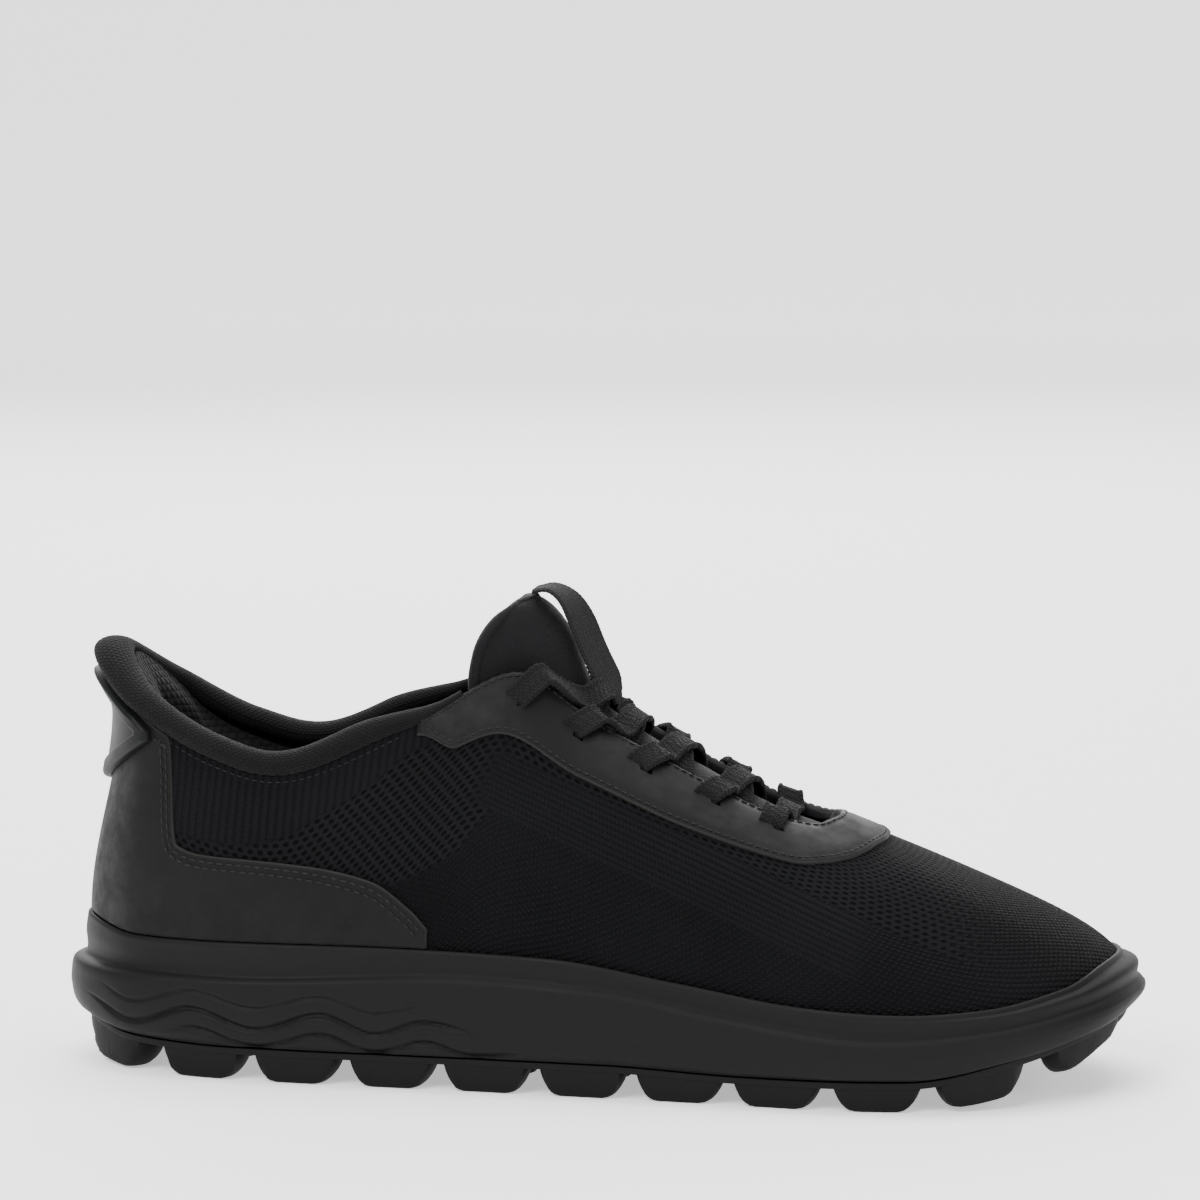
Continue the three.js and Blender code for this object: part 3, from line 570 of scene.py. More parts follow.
def foam_look():
    look = Look("foam", Specular_IOR_Level=0.2)
    cells = look.noise(1800, 2)
    broad = look.noise(30, 3)
    look.bump(cells, 0.3, 0.6)
    return look.finish(look.blend(broad, grey(0.03), grey(0.06)), look.span(cells, 0.3, 0.7, 0.85, 0.98))


KNIT = knit_look()
OVERLAY = overlay_look()
SOLE = rubber_look("sole_rubber", (0.0036, 0.0034, 0.0034), (0.0055, 0.0051, 0.0050))
TREAD = rubber_look("tread_rubber", (0.0030, 0.0029, 0.0029), (0.0048, 0.0045, 0.0045), 0.62)
TAB = rubber_look("tab_rubber", (0.0046, 0.0048, 0.0050), (0.0068, 0.0069, 0.0073), 0.5)
COLLAR = textile_look("collar_textile", 1.5, 0.9, (0.0024, 0.0024, 0.0027), (0.0040, 0.0040, 0.0045), 0.3)
INSIDE = textile_look("lining_textile", 3.0, 1.7, (0.0026, 0.0026, 0.0029), (0.0045, 0.0045, 0.0048), 0.55)
LYCRA = textile_look("tongue_textile", 0.8, 0.6, (0.0024, 0.0024, 0.0029), (0.0039, 0.0039, 0.0045),
                     0.1, 0.45, 0.72)
WEBBING = textile_look("webbing", 1.3, 0.75, (0.0048, 0.0048, 0.0050), (0.0081, 0.0081, 0.0081),
                       0.3, 0.2, 0.8)
BRAID = textile_look("lace_braid", 1.2, 0.8, (0.0039, 0.0039, 0.0042), (0.0065, 0.0065, 0.0068),
                     0.28, 0.4, 0.86)
THREAD = thread_look()
FOAM = foam_look()


def dress(made, material, slot, *nodes):
    made.data.materials.append(material)
    if nodes:
        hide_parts(*nodes)
    return made


# ---------------------------------------------------------------- camera

AIM = Vector((0.0, 0.0, 0.131))
DISTANCE = 1.4
LENS_MM, SENSOR_MM = 152, 36
AZIMUTH, ELEVATION = math.radians(8.5), math.radians(7)
back = Vector((math.sin(AZIMUTH) * math.cos(ELEVATION), -math.cos(AZIMUTH) * math.cos(ELEVATION),
               math.sin(ELEVATION)))
camera = bpy.data.objects.new("camera", bpy.data.cameras.new("camera"))
camera.data.lens = LENS_MM
camera.data.sensor_width = SENSOR_MM
camera.location = AIM + back * DISTANCE
camera.rotation_mode = "QUATERNION"
camera.rotation_quaternion = (-back).to_track_quat("-Z", "Y")
bpy.context.scene.collection.objects.link(camera)
bpy.context.scene.camera = camera

# ---------------------------------------------------------------- the sole

COLUMNS = 720
RING_STATIONS = np.linspace(0, ROUND, COLUMNS, endpoint=False)
FOOT = on_skin(RING_STATIONS, 0)
FOOT_OUT = unit(outward(RING_STATIONS, 0) * [1, 1, 0])
LID_SHARE = 3 / 44  # of the columns, at each end, that close on one point


def floor_top(x):
    return rim_top(x) - RIM_DEPTH


def board_bottom(x):
    return floor_top(x) - BOARD_WALL - 2 * GAP


def plate_top(x):
    return pod_line(x) + 1


def flare(share, x):
    heelward = smoothstep(-x, 90, 145)
    return RIM_WALL + share * (SIDEWALL_FLARE + HEEL_FLARE * heelward)


def ring(grow, height):
    """The skin's foot moved outward in plan, at a height that depends on x."""
    p = FOOT + FOOT_OUT * np.broadcast_to(grow, (COLUMNS,))[:, None]
    p[:, 2] = height(p[:, 0]) if callable(height) else height
    return p


def along_rim(share):
    height = floor_top(FOOT[:, 0]) + RIM_DEPTH * share
    p = off_skin(RING_STATIONS, rise_at(RING_STATIONS, height), GAP)
    p[:, 2] = height
    return p


def lid(outline, height, shares=(0.12, 0.3, 0.5, 0.75, 1)):
    n = np.arange(COLUMNS)
    end = LID_SHARE * COLUMNS
    abreast = np.clip(np.minimum(n, COLUMNS - n), end, COLUMNS / 2 - end).round().astype(int)
    middle = (outline[abreast] + outline[(COLUMNS - abreast) % COLUMNS]) / 2
    rings = []
    for share in shares:
        p = outline + (middle - outline) * share
        p[:, 2] = height(p[:, 0])
        rings.append(p)
    return rings


def stacked(name, rings, **kw):
    rings = np.asarray(rings)
    faces = ring_faces(np.arange(len(rings) * COLUMNS).reshape(-1, COLUMNS)).tolist()
    return make_mesh(name, rings, faces, {"weave": rings.reshape(-1, 3)}, merge=0.002, **kw)


# Wavy grooves in the heel half of the sidewall: x and height of points on each one's middle line,
# its half width and its depth.
WAVES = [
    ([(-138, 24.6), (-126.7, 20.9), (-109, 24.9), (-90.4, 20.9), (-71.4, 24.9), (-56.4, 21),
      (-37, 24.3)], 0.5, 0.6),
    ([(-143, 20.5), (-126.7, 15.1), (-109, 20), (-90.4, 15), (-71.4, 20), (-56.4, 15.2),
      (-42, 19.2), (-24, 16.4)], 0.75, 1.1),
    ([(-118, 12.9), (-109, 14.6), (-90.4, 10), (-71.4, 14.4), (-56.4, 9.9), (-42, 13.6),
      (-29, 10.2), (-11, 11.4)], 0.75, 1.1),
]


def groove_depth(points):
    depth = np.zeros(points.shape[:-1])
    x, z = points[..., 0], points[..., 2]
    for line, half, deep in WAVES:
        start, end = line[0][0], line[-1][0]
        centre = profile(line)(x)
        slope = profile(line)(x + 0.5) - profile(line)(x - 0.5)
        distance = np.abs(z - centre) / np.sqrt(1 + slope**2)
        taper = smoothstep(x, start - 1, start + 12) * (1 - smoothstep(x, end - 14, end + 1))
        depth = np.maximum(depth, deep * taper * np.exp(-((distance / (half * (0.4 + 0.6 * taper))) ** 2)))
    return depth


def midsole_rings():
    """From the lid below, up the sidewall, over the rim and down to the lid inside."""
    x = FOOT[:, 0]
    pod, crest, top = pod_line(x), ridge(x), rim_top(x)
    lip_high = 1.1
    rim = along_rim(1)
    rim_outer = rim + FOOT_OUT * (RIM_WALL - GAP)
    # knots of the sidewall: a parameter, how far out, and how high
    knots = np.array([0, 0.12, 0.30, 0.55, 0.66, 0.70, 0.735, 0.85, 1.0])
    out = np.array([flare(s, x) for s in (0.05, 0.72, 1.0, 0.98, 0.86, 0.62, 0.16, 0.17)])
    high = np.array([pod + 1, pod + (crest - pod) * 0.18, pod + (crest - pod) * 0.5,
                     pod + (crest - pod) * 0.8, crest - 0.6, crest + 0.3, crest + 1.3,
                     (crest + top) / 2 + 1, top - lip_high])
    outer_at_top = ((rim_outer - FOOT) * FOOT_OUT).sum(-1)
    out = np.vstack([out, outer_at_top])
    samples = np.concatenate([np.linspace(0, 0.12, 9), np.linspace(0.12, 0.66, 52)[1:],
                              np.linspace(0.66, 0.735, 9)[1:], np.linspace(0.735, 1, 14)[1:]])
    side = []
    for q in samples:
        i = min(np.searchsorted(knots, q, side="right") - 1, len(knots) - 2)
        t = (q - knots[i]) / (knots[i + 1] - knots[i])

        def through(values):
            before, after = max(i - 1, 0), min(i + 2, len(knots) - 1)
            lo, hi = values[i], values[i + 1]
            gap = knots[i + 1] - knots[i]
            m1 = (hi - values[before]) / (knots[i + 1] - knots[before]) * gap
            m2 = (values[after] - lo) / (knots[after] - knots[i]) * gap
            return ((1 + 2 * t) * (1 - t) ** 2 * lo + t * (1 - t) ** 2 * m1
                    + t * t * (3 - 2 * t) * hi + t * t * (t - 1) * m2)

        p = FOOT + FOOT_OUT * through(out)[:, None]
        p[:, 2] = through(high)
        p -= FOOT_OUT * groove_depth(p)[:, None]
        side.append(p)
    lip = []
    for turn in np.linspace(0, math.pi, 9)[1:-1]:
        p = (rim_outer + rim) / 2 + (rim_outer - rim) / 2 * math.cos(turn)
        p[:, 2] = top - lip_high + lip_high * math.sin(turn)
        lip.append(p)
    inside = [along_rim(0.86), along_rim(0.5), ring(GAP, floor_top), ring(GAP, board_bottom)]
    bottom = side[0]
    return [*lid(bottom, plate_top)[::-1], *side, *lip, *inside, *lid(inside[-1], board_bottom)]


dress(stacked("midsole_sidewall", midsole_rings(), sharp=40), SOLE, "sole_foam", "midsole")


def outline_width(outline, x):
    """The lowest and highest y of the sole's outline at x."""
    half = COLUMNS // 2
    lateral = outline[: half + 1]
    medial = np.vstack([outline[half:], outline[:1]])
    low = np.interp(x, lateral[::-1, 0], lateral[::-1, 1])
    high = np.interp(x, medial[:, 0], medial[:, 1])
    return low, high


def pod_places(outline):
    """The middle, length and width of each pod, in rows across the sole."""
    front, rear = outline[0, 0], outline[COLUMNS // 2, 0]
    pitch = (front - rear) / POD_COUNT
    for n in range(POD_COUNT):
        x = rear + pitch * (n + 0.5)
        low, high = outline_width(outline, x)
        rows = int(np.clip(round((high - low) / (POD_WIDTH + POD_SPACE)), 2, 4))
        width = (high - low) / rows
        for row in range(rows):
            outermost = (row == rows - 1) - (row == 0)
            grown = OUTER_GROWTH * abs(outermost)
            yield (x, low + width * (row + 0.5) + outermost * grown / 2, pitch - POD_SPACE,
                   width - POD_SPACE + grown)


def outsole_mesh():
    """The plate, and on it every pod as a rounded dome with a flat foot and a sunk ring."""
    def top(x):
        return plate_top(x) - LAYER_GAP

    def bottom(x):
        return np.maximum(pod_line(x) - 1.2, tread(x) + 2)

    edge = ring(flare(0.1, FOOT[:, 0]), top)
    low = ring(flare(0.02, FOOT[:, 0]), bottom)
    rounded_low = ring(flare(0.1, FOOT[:, 0]) - 0.02, lambda x: bottom(x) + 0.5)
    plate = np.array([*lid(low, bottom)[::-1], low, rounded_low, edge, *lid(edge, top)])
    count = len(plate) * COLUMNS
    faces = ring_faces(np.arange(count).reshape(-1, COLUMNS)).tolist()
    points = [plate.reshape(-1, 3)]
    sides = 48
    squareness = 0.72  # of a pod's outline, from a diamond's 2 past an ellipse's 1 towards a rectangle's 0
    cos, sin = (np.sign(v) * np.abs(v) ** squareness
                for v in (np.cos(around_once(sides)), np.sin(around_once(sides))))
    climb = [0, 0.04, 0.12, 0.25, 0.42, 0.62, 0.82, 1]

    def within(px, py, x, y, margin):
        """Points drawn back towards the pod's middle until they are inside the outline."""
        keep = np.ones(len(px))
        for _ in range(60):
            qx, qy = x + (px - x) * keep, y + (py - y) * keep
            y_low, y_high = outline_width(edge, qx)
            outside = (qy < y_low + margin) | (qy > y_high - margin)
            outside |= (qx < edge[COLUMNS // 2, 0] + margin) | (qx > edge[0, 0] - margin)
            keep = np.where(outside, keep * 0.975, keep)
        return qx, qy

    for x, y, long, wide in pod_places(edge):
        rings = []
        y_low, y_high = outline_width(edge, x)
        centre = float(np.clip(y, y_low + 8, y_high - 8))
        foot_inset = min(long, wide) * 0.21
        for share in (0.0, 0.45, 0.55, 0.6, 0.68, 0.73):
            dip = 0.5 if 0.5 < share < 0.65 else 0.0
            px = x + cos * (long / 2 - foot_inset) * share
            py = y + sin * (wide / 2 - foot_inset) * share
            px, py = within(px, py, x, centre, 2.2)
            rings.append(np.stack([px, py, tread(px) + dip], 1))
        for t in climb:
            inset = foot_inset * (0.25 * (1 - t) + 0.75 * (1 - math.sqrt(1 - (1 - t) ** 2)))
            px = x + cos * (long / 2 - inset)
            py = y + sin * (wide / 2 - inset)
            px, py = within(px, py, x, centre, 0.3 + inset * 0.22)
            foot, head = tread(px), top(px) - 0.6
            rings.append(np.stack([px, py, foot + (head - foot) * t], 1))
        rings.append(rings[-1].mean(0, keepdims=True).repeat(sides, 0))
        size = len(rings) * sides
        index = np.arange(count, count + size).reshape(-1, sides)
        faces += ring_faces(index)[:, [0, 3, 2, 1]].tolist()
        points.append(np.array(rings).reshape(-1, 3))
        count += size
    points = np.concatenate(points)
    return make_mesh("outsole_pods", points, faces, {"weave": points}, merge=0.002, sharp=45)


dress(outsole_mesh(), TREAD, "sole_rubber", "outsole")

INNER_WALL = KNIT_WALL + STIFFENER_WALL + LINING_WALL + 3 * LAYER_GAP


def insole_bottom(x):
    return board_bottom(x) + BOARD_WALL + GAP + LAYER_GAP


def footbed():
    def top(x):
        return insole_bottom(x) + INSOLE_WALL

    rings = [*lid(ring(-INNER_WALL - 3.8, insole_bottom), insole_bottom)[::-1],
             ring(-INNER_WALL - 3.8, insole_bottom),
             ring(-INNER_WALL - 2.9, lambda x: insole_bottom(x) + 1.2),
             ring(-INNER_WALL - 2.8, lambda x: insole_bottom(x) + 2.4),
             ring(-INNER_WALL - 2.8, lambda x: top(x) + 1.4),
             ring(-INNER_WALL - 3.3, lambda x: top(x) + 1.95),
             ring(-INNER_WALL - 4.1, lambda x: top(x) + 1.9),
             ring(-INNER_WALL - 6.0, lambda x: top(x) + 1.1),
             ring(-INNER_WALL - 8.2, lambda x: top(x) + 0.35)]
    last = ring(-INNER_WALL - INSOLE_EDGE, top)
    return stacked("footbed_foam", [*rings, last, *lid(last, top)], body="footbed")


insole = dress(footbed(), FOAM, "footbed_foam", "insole")


def footbed_cover():
    def bottom(x):
        return insole_bottom(x) + INSOLE_WALL + GAP

    def top(x):
        return bottom(x) + COVER_WALL

    edge = -INNER_WALL - INSOLE_EDGE - 2
    low, high = ring(edge, bottom), ring(edge, top)
    bulge = ring(edge + 0.12, lambda x: bottom(x) + COVER_WALL / 2)
    return stacked("footbed_sheet", [*lid(low, bottom)[::-1], low, bulge, high, *lid(high, top)],
                   body="footbed")


dress(footbed_cover(), INSIDE, "lining_textile", "insole_cover")

# ---------------------------------------------------------------- the upper

rib_low = profile([(-128, 73), (-112, 67.5), (-97, 65.5), (-84, 67.5), (-72, 74), (-58, 83), (-44, 93)])
mesh_low = profile([(-128, 62), (-110, 55), (-90, 52.5), (-70, 53), (-50, 57), (-34, 66), (-24, 77)])
BAND_START, BAND_END = np.array([-10.0, 79.0]), np.array([74.0, 43.5])


def knit_zones(points):
    """How much of each stitch a place has: ribs, open mesh, striped band."""
    x, z = points[..., 0], points[..., 2]
    run = BAND_END - BAND_START
    length = np.linalg.norm(run)
    run = run / length
    along = (x - BAND_START[0]) * run[0] + (z - BAND_START[1]) * run[1]
    across = -(x - BAND_START[0]) * run[1] + (z - BAND_START[1]) * run[0]
    ribs = smoothstep(z - rib_low(x), -1, 1) * (1 - smoothstep(x, -45, -40))
    band = (1 - smoothstep(np.abs(across), 6.6, 8.2)) * smoothstep(along, -22, -14)
    band *= 1 - smoothstep(along, length - 2, length + 9)
    rear = smoothstep(z - mesh_low(x), -1.4, 1.4) * (1 - smoothstep(x, -26, -16))
    front = smoothstep(across, 6.5, 8.5) * smoothstep(x, -26, -16) * (1 - smoothstep(x, 88, 122))
    mesh = np.maximum(rear, front) * (1 - ribs) * (1 - band)
    return np.stack([ribs, mesh, band * (1 - ribs)], -1), across


def slots_missing(stations, rises):
    """Cells of a grid that a lace slot takes away."""
    middle_s = (stations + np.roll(stations, -1, 0)) / 2
    middle_r = (rises + np.roll(rises, -1, 1)) / 2
    gone = np.zeros(stations.shape, bool)
    for slot in SLOT_STATIONS:
        for side in (slot - SLOT_SHIFT, ROUND - slot + SLOT_SHIFT):
            width = np.linalg.norm(on_skin(side + 0.5, SLOT_RISE) - on_skin(side - 0.5, SLOT_RISE))
            tall = np.linalg.norm(on_skin(side, SLOT_RISE + 0.05) - on_skin(side, SLOT_RISE - 0.05)) * 10
            near = np.abs((middle_s % ROUND) - side) * width < SLOT_HALF_LENGTH
            level = np.abs(middle_r - SLOT_RISE) * tall < SLOT_HALF_HEIGHT
            gone |= near & level
    return gone


def wrinkles(points, size):
    """A slow, smooth unevenness, the same every run."""
    x, y, z = (points[..., k] for k in range(3))
    wave = (np.sin(x / 9.0 + 1.3 * np.sin(z / 11.0)) + np.sin(z / 7.0 + y / 13.0 + 0.7)
            + np.sin((x + 2 * z) / 17.0 + 1.1))
    return size * wave / 3


def upper():
    stations = np.linspace(0, ROUND, 880, endpoint=False)
    shares = even_with_edges(95, 0.9, (0, 0.3, 0.7, 1.2))
    s, r = np.meshgrid(stations, shares, indexing="ij")
    skin = on_skin(s, r)
    zones, across = knit_zones(skin)
    down = arc_lengths(skin[:, ::-1], 1)[:, ::-1]
    edge = np.minimum(down, arc_lengths(skin, 1))
    size = smoothstep(edge, 2, 12) * 0.22
    heelward = 1 - smoothstep(from_heel(s), 2.4, 4.6)
    crown = 0.7 * heelward * smoothstep(r, 0.45, 0.8) * (1 - smoothstep(r, 0.85, 1))
    outer = off_skin(s, r, wrinkles(skin, 1) * size + crown - rounded(edge, 0.8))
    inner = off_skin(s, r, -KNIT_WALL)
    reference = on_skin(np.linspace(0, ROUND, 881), 0.62)
    around = np.concatenate([[0], np.cumsum(np.linalg.norm(np.diff(reference, axis=0), axis=1))])
    pitch = 2 * 2.8  # a whole number of these goes round, so the open mesh meets itself at the seam
    around *= np.round(around[-1] / pitch) * pitch / around[-1]
    weave = together(around[:-1, None], down, across)
    return shell("upper_knit_shell", outer, inner, closed=True, missing=slots_missing(s, r),
                 attributes={"weave": weave, "zones": zones, "edge": edge})


dress(upper(), KNIT, "knit", "upper_knit")

STIFFENER_OUT = -KNIT_WALL - LAYER_GAP
PAD_OUT = STIFFENER_OUT - STIFFENER_WALL - LAYER_GAP


def pad_thickness(s, r):
    """The collar's padding: thick round the heel, split by a valley at the centre back."""
    rear = 1 - smoothstep(from_heel(s), 2.6, 4.4)
    high = smoothstep(r, 0.3, 0.72) * (1 - 0.93 * smoothstep(r, 0.84, 1.0))
    valley = 1 - 0.35 * np.exp(-((from_heel(s) / 0.35) ** 2))
    return (COLLAR_PAD + 1.6) * rear * high * valley


lining_top = profile([[0, 0.62], [2, 0.55], [4, 0.6], [5, 0.66], [6, 0.7], [6.6, 0.9], [7.4, EDGE_RISE]])


def lining():
    s, r, edge, up = layer_grid(0, ROUND, constant(0.02), lambda q: lining_top(from_toe(q)), 1 / 20, 80)
    face = PAD_OUT - pad_thickness(s, r) - LAYER_GAP
    outer = off_skin(s, r, face)
    inner = off_skin(s, r, face - LINING_WALL + wrinkles(on_skin(s, r), 0.35) * smoothstep(edge, 1, 6)
                     + rounded(edge, 0.35))
    weave = together(s * 24.0, up, 0.0)
    return shell("lining_sock", outer, inner, closed=True, attributes={"weave": weave})


dress(lining(), INSIDE, "lining_textile", "lining")


def collar_pad():
    reach = 3.5
    s, r, edge, up = layer_grid(HALF - reach, HALF + reach, constant(0.46), constant(0.97), 1 / 16, 40, 2)
    thick = np.maximum(pad_thickness(s, r) - rounded(edge, 1.2), 0.15)
    return shell("collar_padding", off_skin(s, r, PAD_OUT), off_skin(s, r, PAD_OUT - thick),
                 attributes={"weave": together(s, up, up)})


collar_padding = dress(collar_pad(), FOAM, "footbed_foam", "collar_foam")

# ---------------------------------------------------------------- overlays

wrap_height = profile([[0, 130], [1.25, 130], [1.7, 64.5], [2, 62.4], [2.6, 61.6], [3.2, 60.4],
                       [3.8, 57], [4.3, 49], [4.62, 43]])
eyestay_low = profile([[0, 0.882], [0.5, 0.876], [1, 0.862], [1.5, 0.832], [2, 0.785], [2.5, 0.73],
                       [3, 0.68], [4, 0.66], [5, 0.68], [6, 0.74], [6.5, 0.76], [7.05, 0.93]])
WRAP_REACH = 4.5
STAY_REACH = 7


def wrap_low(s):
    return rise_at(s, rim_top(on_skin(s, 0)[..., 0]) + 0.1)


def wrap_high(s):
    top = np.minimum(rise_at(s, wrap_height(from_heel(s))), EDGE_RISE)
    return np.maximum(top, wrap_low(s) + 0.01)


def heel_wrap():
    s, r, edge, _ = layer_grid(HALF - WRAP_REACH, HALF + WRAP_REACH, wrap_low, wrap_high, 1 / 40, 40, 1.5)
    skin = on_skin(s, r)
    spread = unit(np.gradient(skin, axis=0))
    rise_way = np.gradient(skin, axis=1)
    edge_slope = np.abs((unit(rise_way) * spread).sum(-1))
    distance = edge * np.sqrt(np.clip(1 - edge_slope**2, 0.05, 1))
    seam = 0.35 * np.exp(-((from_heel(s) * 24 / 0.5) ** 2)) * (r < 0.5)
    lift = GAP + OVERLAY_WALL + wrinkles(skin, 0.16) * smoothstep(distance, 1, 8)
    outer = off_skin(s, r, lift - rounded(distance, 0.7) * 0.8 - seam)
    inner = off_skin(s, r, OVERLAY_BASE)
    return shell("heel_wrap_overlay", outer, inner, attributes={"edge": distance, "weave": skin})


dress(heel_wrap(), OVERLAY, "overlay", "heel_wrap")


def stay_low(s):
    return eyestay_low(from_toe(s))


def eyestay():
    s, r, edge, _ = layer_grid(-STAY_REACH, STAY_REACH, stay_low, constant(EDGE_RISE), 1 / 40, 26, 0.9)
    skin = on_skin(s, r)
    puff = 0.18 * smoothstep(edge, 1.5, 4)
    outer = off_skin(s, r, GAP + OVERLAY_WALL + puff + wrinkles(skin, 0.1) - rounded(edge, 0.7) * 0.9)
    inner = off_skin(s, r, OVERLAY_BASE)
    return shell("eyestay_overlay", outer, inner, missing=slots_missing(s % ROUND, r),
                 attributes={"edge": edge, "weave": skin})


dress(eyestay(), OVERLAY, "overlay", "eyestay")

TAB_REACH = 1.25
TAB_WALL = 2.2
TAB_FLARE = 4.6
TAB_BOTTOM, TAB_TIP, TAB_TOP = 77.5, 94.0, 117.0  # heights of the diamond's corners


def heel_tab():
    """A diamond with a raised border, that flares out at its top lip."""
    def share(s):
        return np.minimum(from_heel(s) / TAB_REACH, 1)

    def lower(q):
        return rise_at(q, TAB_BOTTOM + (TAB_TIP - 1.5 - TAB_BOTTOM) * share(q) ** 1.1)

    def upper_edge(q):
        return np.minimum(rise_at(q, TAB_TOP - (TAB_TOP - TAB_TIP - 1.5) * share(q) ** 1.25), 0.975)

    s, r, edge, _ = layer_grid(HALF - TAB_REACH, HALF + TAB_REACH, lower, upper_edge, 1 / 60, 30, 0.5)
    skin = on_skin(s, r)
    base = OVERLAY_WALL + 0.1
    flared = TAB_FLARE * (1 - share(s) ** 1.5) * smoothstep(skin[..., 2], TAB_TIP + 3, TAB_TOP)
    border = edge * 0.72  # the corners are measured aslant, so the distance to the border is less
    panel = 0.9 * smoothstep(border, 2.6, 3.4)
    face = base + GAP + LAYER_GAP + TAB_WALL + flared
    outer = off_skin(s, r, face - rounded(border, 1.1) - panel)
    inner = off_skin(s, r, base + GAP + 0.8 * flared)
    return shell("heel_tab_diamond", outer, inner, attributes={"edge": border + 1, "weave": skin},
                 merge=0.01)


dress(heel_tab(), TAB, "tab_rubber", "heel_tab")


def collar_roll():
    """The padded roll on the opening's edge, puckered a little at its stitches."""
    reach = 4.4
    stations = np.linspace(HALF - reach, HALF + reach, 520)
    edge = on_skin(stations, 1)
    ahead = unit(on_skin(stations + 0.05, 1) - on_skin(stations - 0.05, 1))
    up = unit(np.array([0, 0, 1.0]) - ahead * ahead[:, 2:])
    across = np.cross(ahead, up)
    tucked = smoothstep(from_heel(stations), 3.5, 4.3)
    thin = 1 - 0.45 * tucked - 0.2 * smoothstep(from_heel(stations), 4.0, reach)
    rear = np.exp(-((from_heel(stations) / 0.95) ** 2))[:, None]
    length = arc_lengths(edge, 0)
    half = (4.7 * thin)[:, None] * (1 + 0.2 * rear)
    tall = (3.4 * thin)[:, None]
    tucked = tucked[:, None]
    centre = edge + up * (tall * (0.78 - 1.1 * tucked)) + across * (half - 2.75 + 0.9 * tucked)
    centre = centre - np.array([3.6, 0, 1.2]) * rear
    turns = around_once(28)
    sections = []
    for turn in turns:
        pucker = 1 - 0.02 * np.cos(length * 2 * math.pi / 3.1) * max(-math.sin(turn), 0)
        fold = 1 + 0.012 * np.sin(length / 6.5 + 2 * math.sin(turn))
        radius = (pucker * fold)[:, None]
        sections.append(centre + across * half * math.cos(turn) * radius
                        + up * tall * math.sin(turn) * radius)
    weave = together(length[:, None], turns * 4, 0.0)
    return tube("collar_roll_padded", np.stack(sections, 1), weave, sharp=70)


roll = dress(collar_roll(), COLLAR, "collar_textile", "collar_roll")

# ---------------------------------------------------------------- stitching


def resampled(points, pitch):
    length = arc_lengths(points, 0)
    count = max(int(length[-1] / pitch), 2)
    return at_lengths((np.arange(count) + 0.5) * length[-1] / count, length, points)


def inset_path(s, r, distance):
    """A path on the skin moved sideways by a distance in millimetres, to the left of its run."""
    su = np.linalg.norm(on_skin(s + 0.01, r) - on_skin(s - 0.01, r), axis=-1) / 0.02
    ru = np.linalg.norm(on_skin(s, np.minimum(r + 0.01, 1)) - on_skin(s, r - 0.01), axis=-1) / (
        np.minimum(r + 0.01, 1) - r + 0.01)
    run = unit(np.stack([np.gradient(s) * su, np.gradient(r) * ru], -1))
    return s - run[:, 1] * distance / su, r + run[:, 0] * distance / ru


def stitch_row(name, paths, long=2.0, wide=0.62, pitch=2.7, slot="overlay"):
    """Rows of thread stitches. A path is (centres, outward normals) along a seam."""
    sink = 0.1
    index = np.arange(5 * 6).reshape(5, 6)
    one, stitches = capped_faces(index), []
    a = np.linspace(-1, 1, 5)
    girth = np.sqrt(1 - (a * 0.92) ** 2)
    turns = around_once(6)
    for centres, normals in paths:
        both = resampled(np.hstack([centres, normals]), pitch)
        place, out = both[:, :3], unit(both[:, 3:])
        run = unit(np.gradient(place, axis=0))
        side = unit(np.cross(out, run))
        for p, o, f, w in zip(place, out, run, side):
            section = (w * np.cos(turns)[None, :, None] * wide / 2
                       + o * np.sin(turns)[None, :, None] * wide / 2) * girth[:, None, None]
            stitches.append(p + o * (wide * 0.3 - sink) + f * (a * long / 2)[:, None, None] + section)
    faces = [[corner + n * index.size for corner in face] for n in range(len(stitches)) for face in one]
    dress(face_outward(make_mesh(name, stitches, faces, sharp=80)), THREAD, slot)


def skin_path(s, r, offset):
    return off_skin(s, r, offset), outward(s, r)


def wrap_edge_paths():
    paths = []
    for start, end in ((HALF - WRAP_REACH + 0.02, HALF - 1.27), (HALF + WRAP_REACH - 0.02, HALF + 1.27)):
        s = np.linspace(start, end, 400)
        r = wrap_high(s)
        inward = -1 if start < HALF else 1
        for distance in (1.7, 3.4):
            ps, pr = inset_path(s, r, distance * inward)
            keep = (pr > wrap_low(ps) + 0.012) & (pr < 0.95)
            paths.append(skin_path(ps[keep], pr[keep], GAP + OVERLAY_WALL))
    return paths


stitch_row("wrap_stitches", wrap_edge_paths())

s_line = np.linspace(-STAY_REACH + 0.05, STAY_REACH - 0.05, 900)
stay_seams = (inset_path(s_line, stay_low(s_line), 1.5),
              inset_path(s_line, np.full(900, EDGE_RISE), -1.3))
stitch_row("eyestay_stitches", [skin_path(s, r, GAP + OVERLAY_WALL + 0.05) for s, r in stay_seams],
           long=1.7, wide=0.5, pitch=2.3)

s_line = np.linspace(HALF - 3.85, HALF + 3.85, 700)
stitch_row("collar_stitches", [skin_path(s_line, 0.955, 0.2)], long=1.5, wide=0.42, pitch=2.2,
           slot="collar_textile")

# ---------------------------------------------------------------- tongue

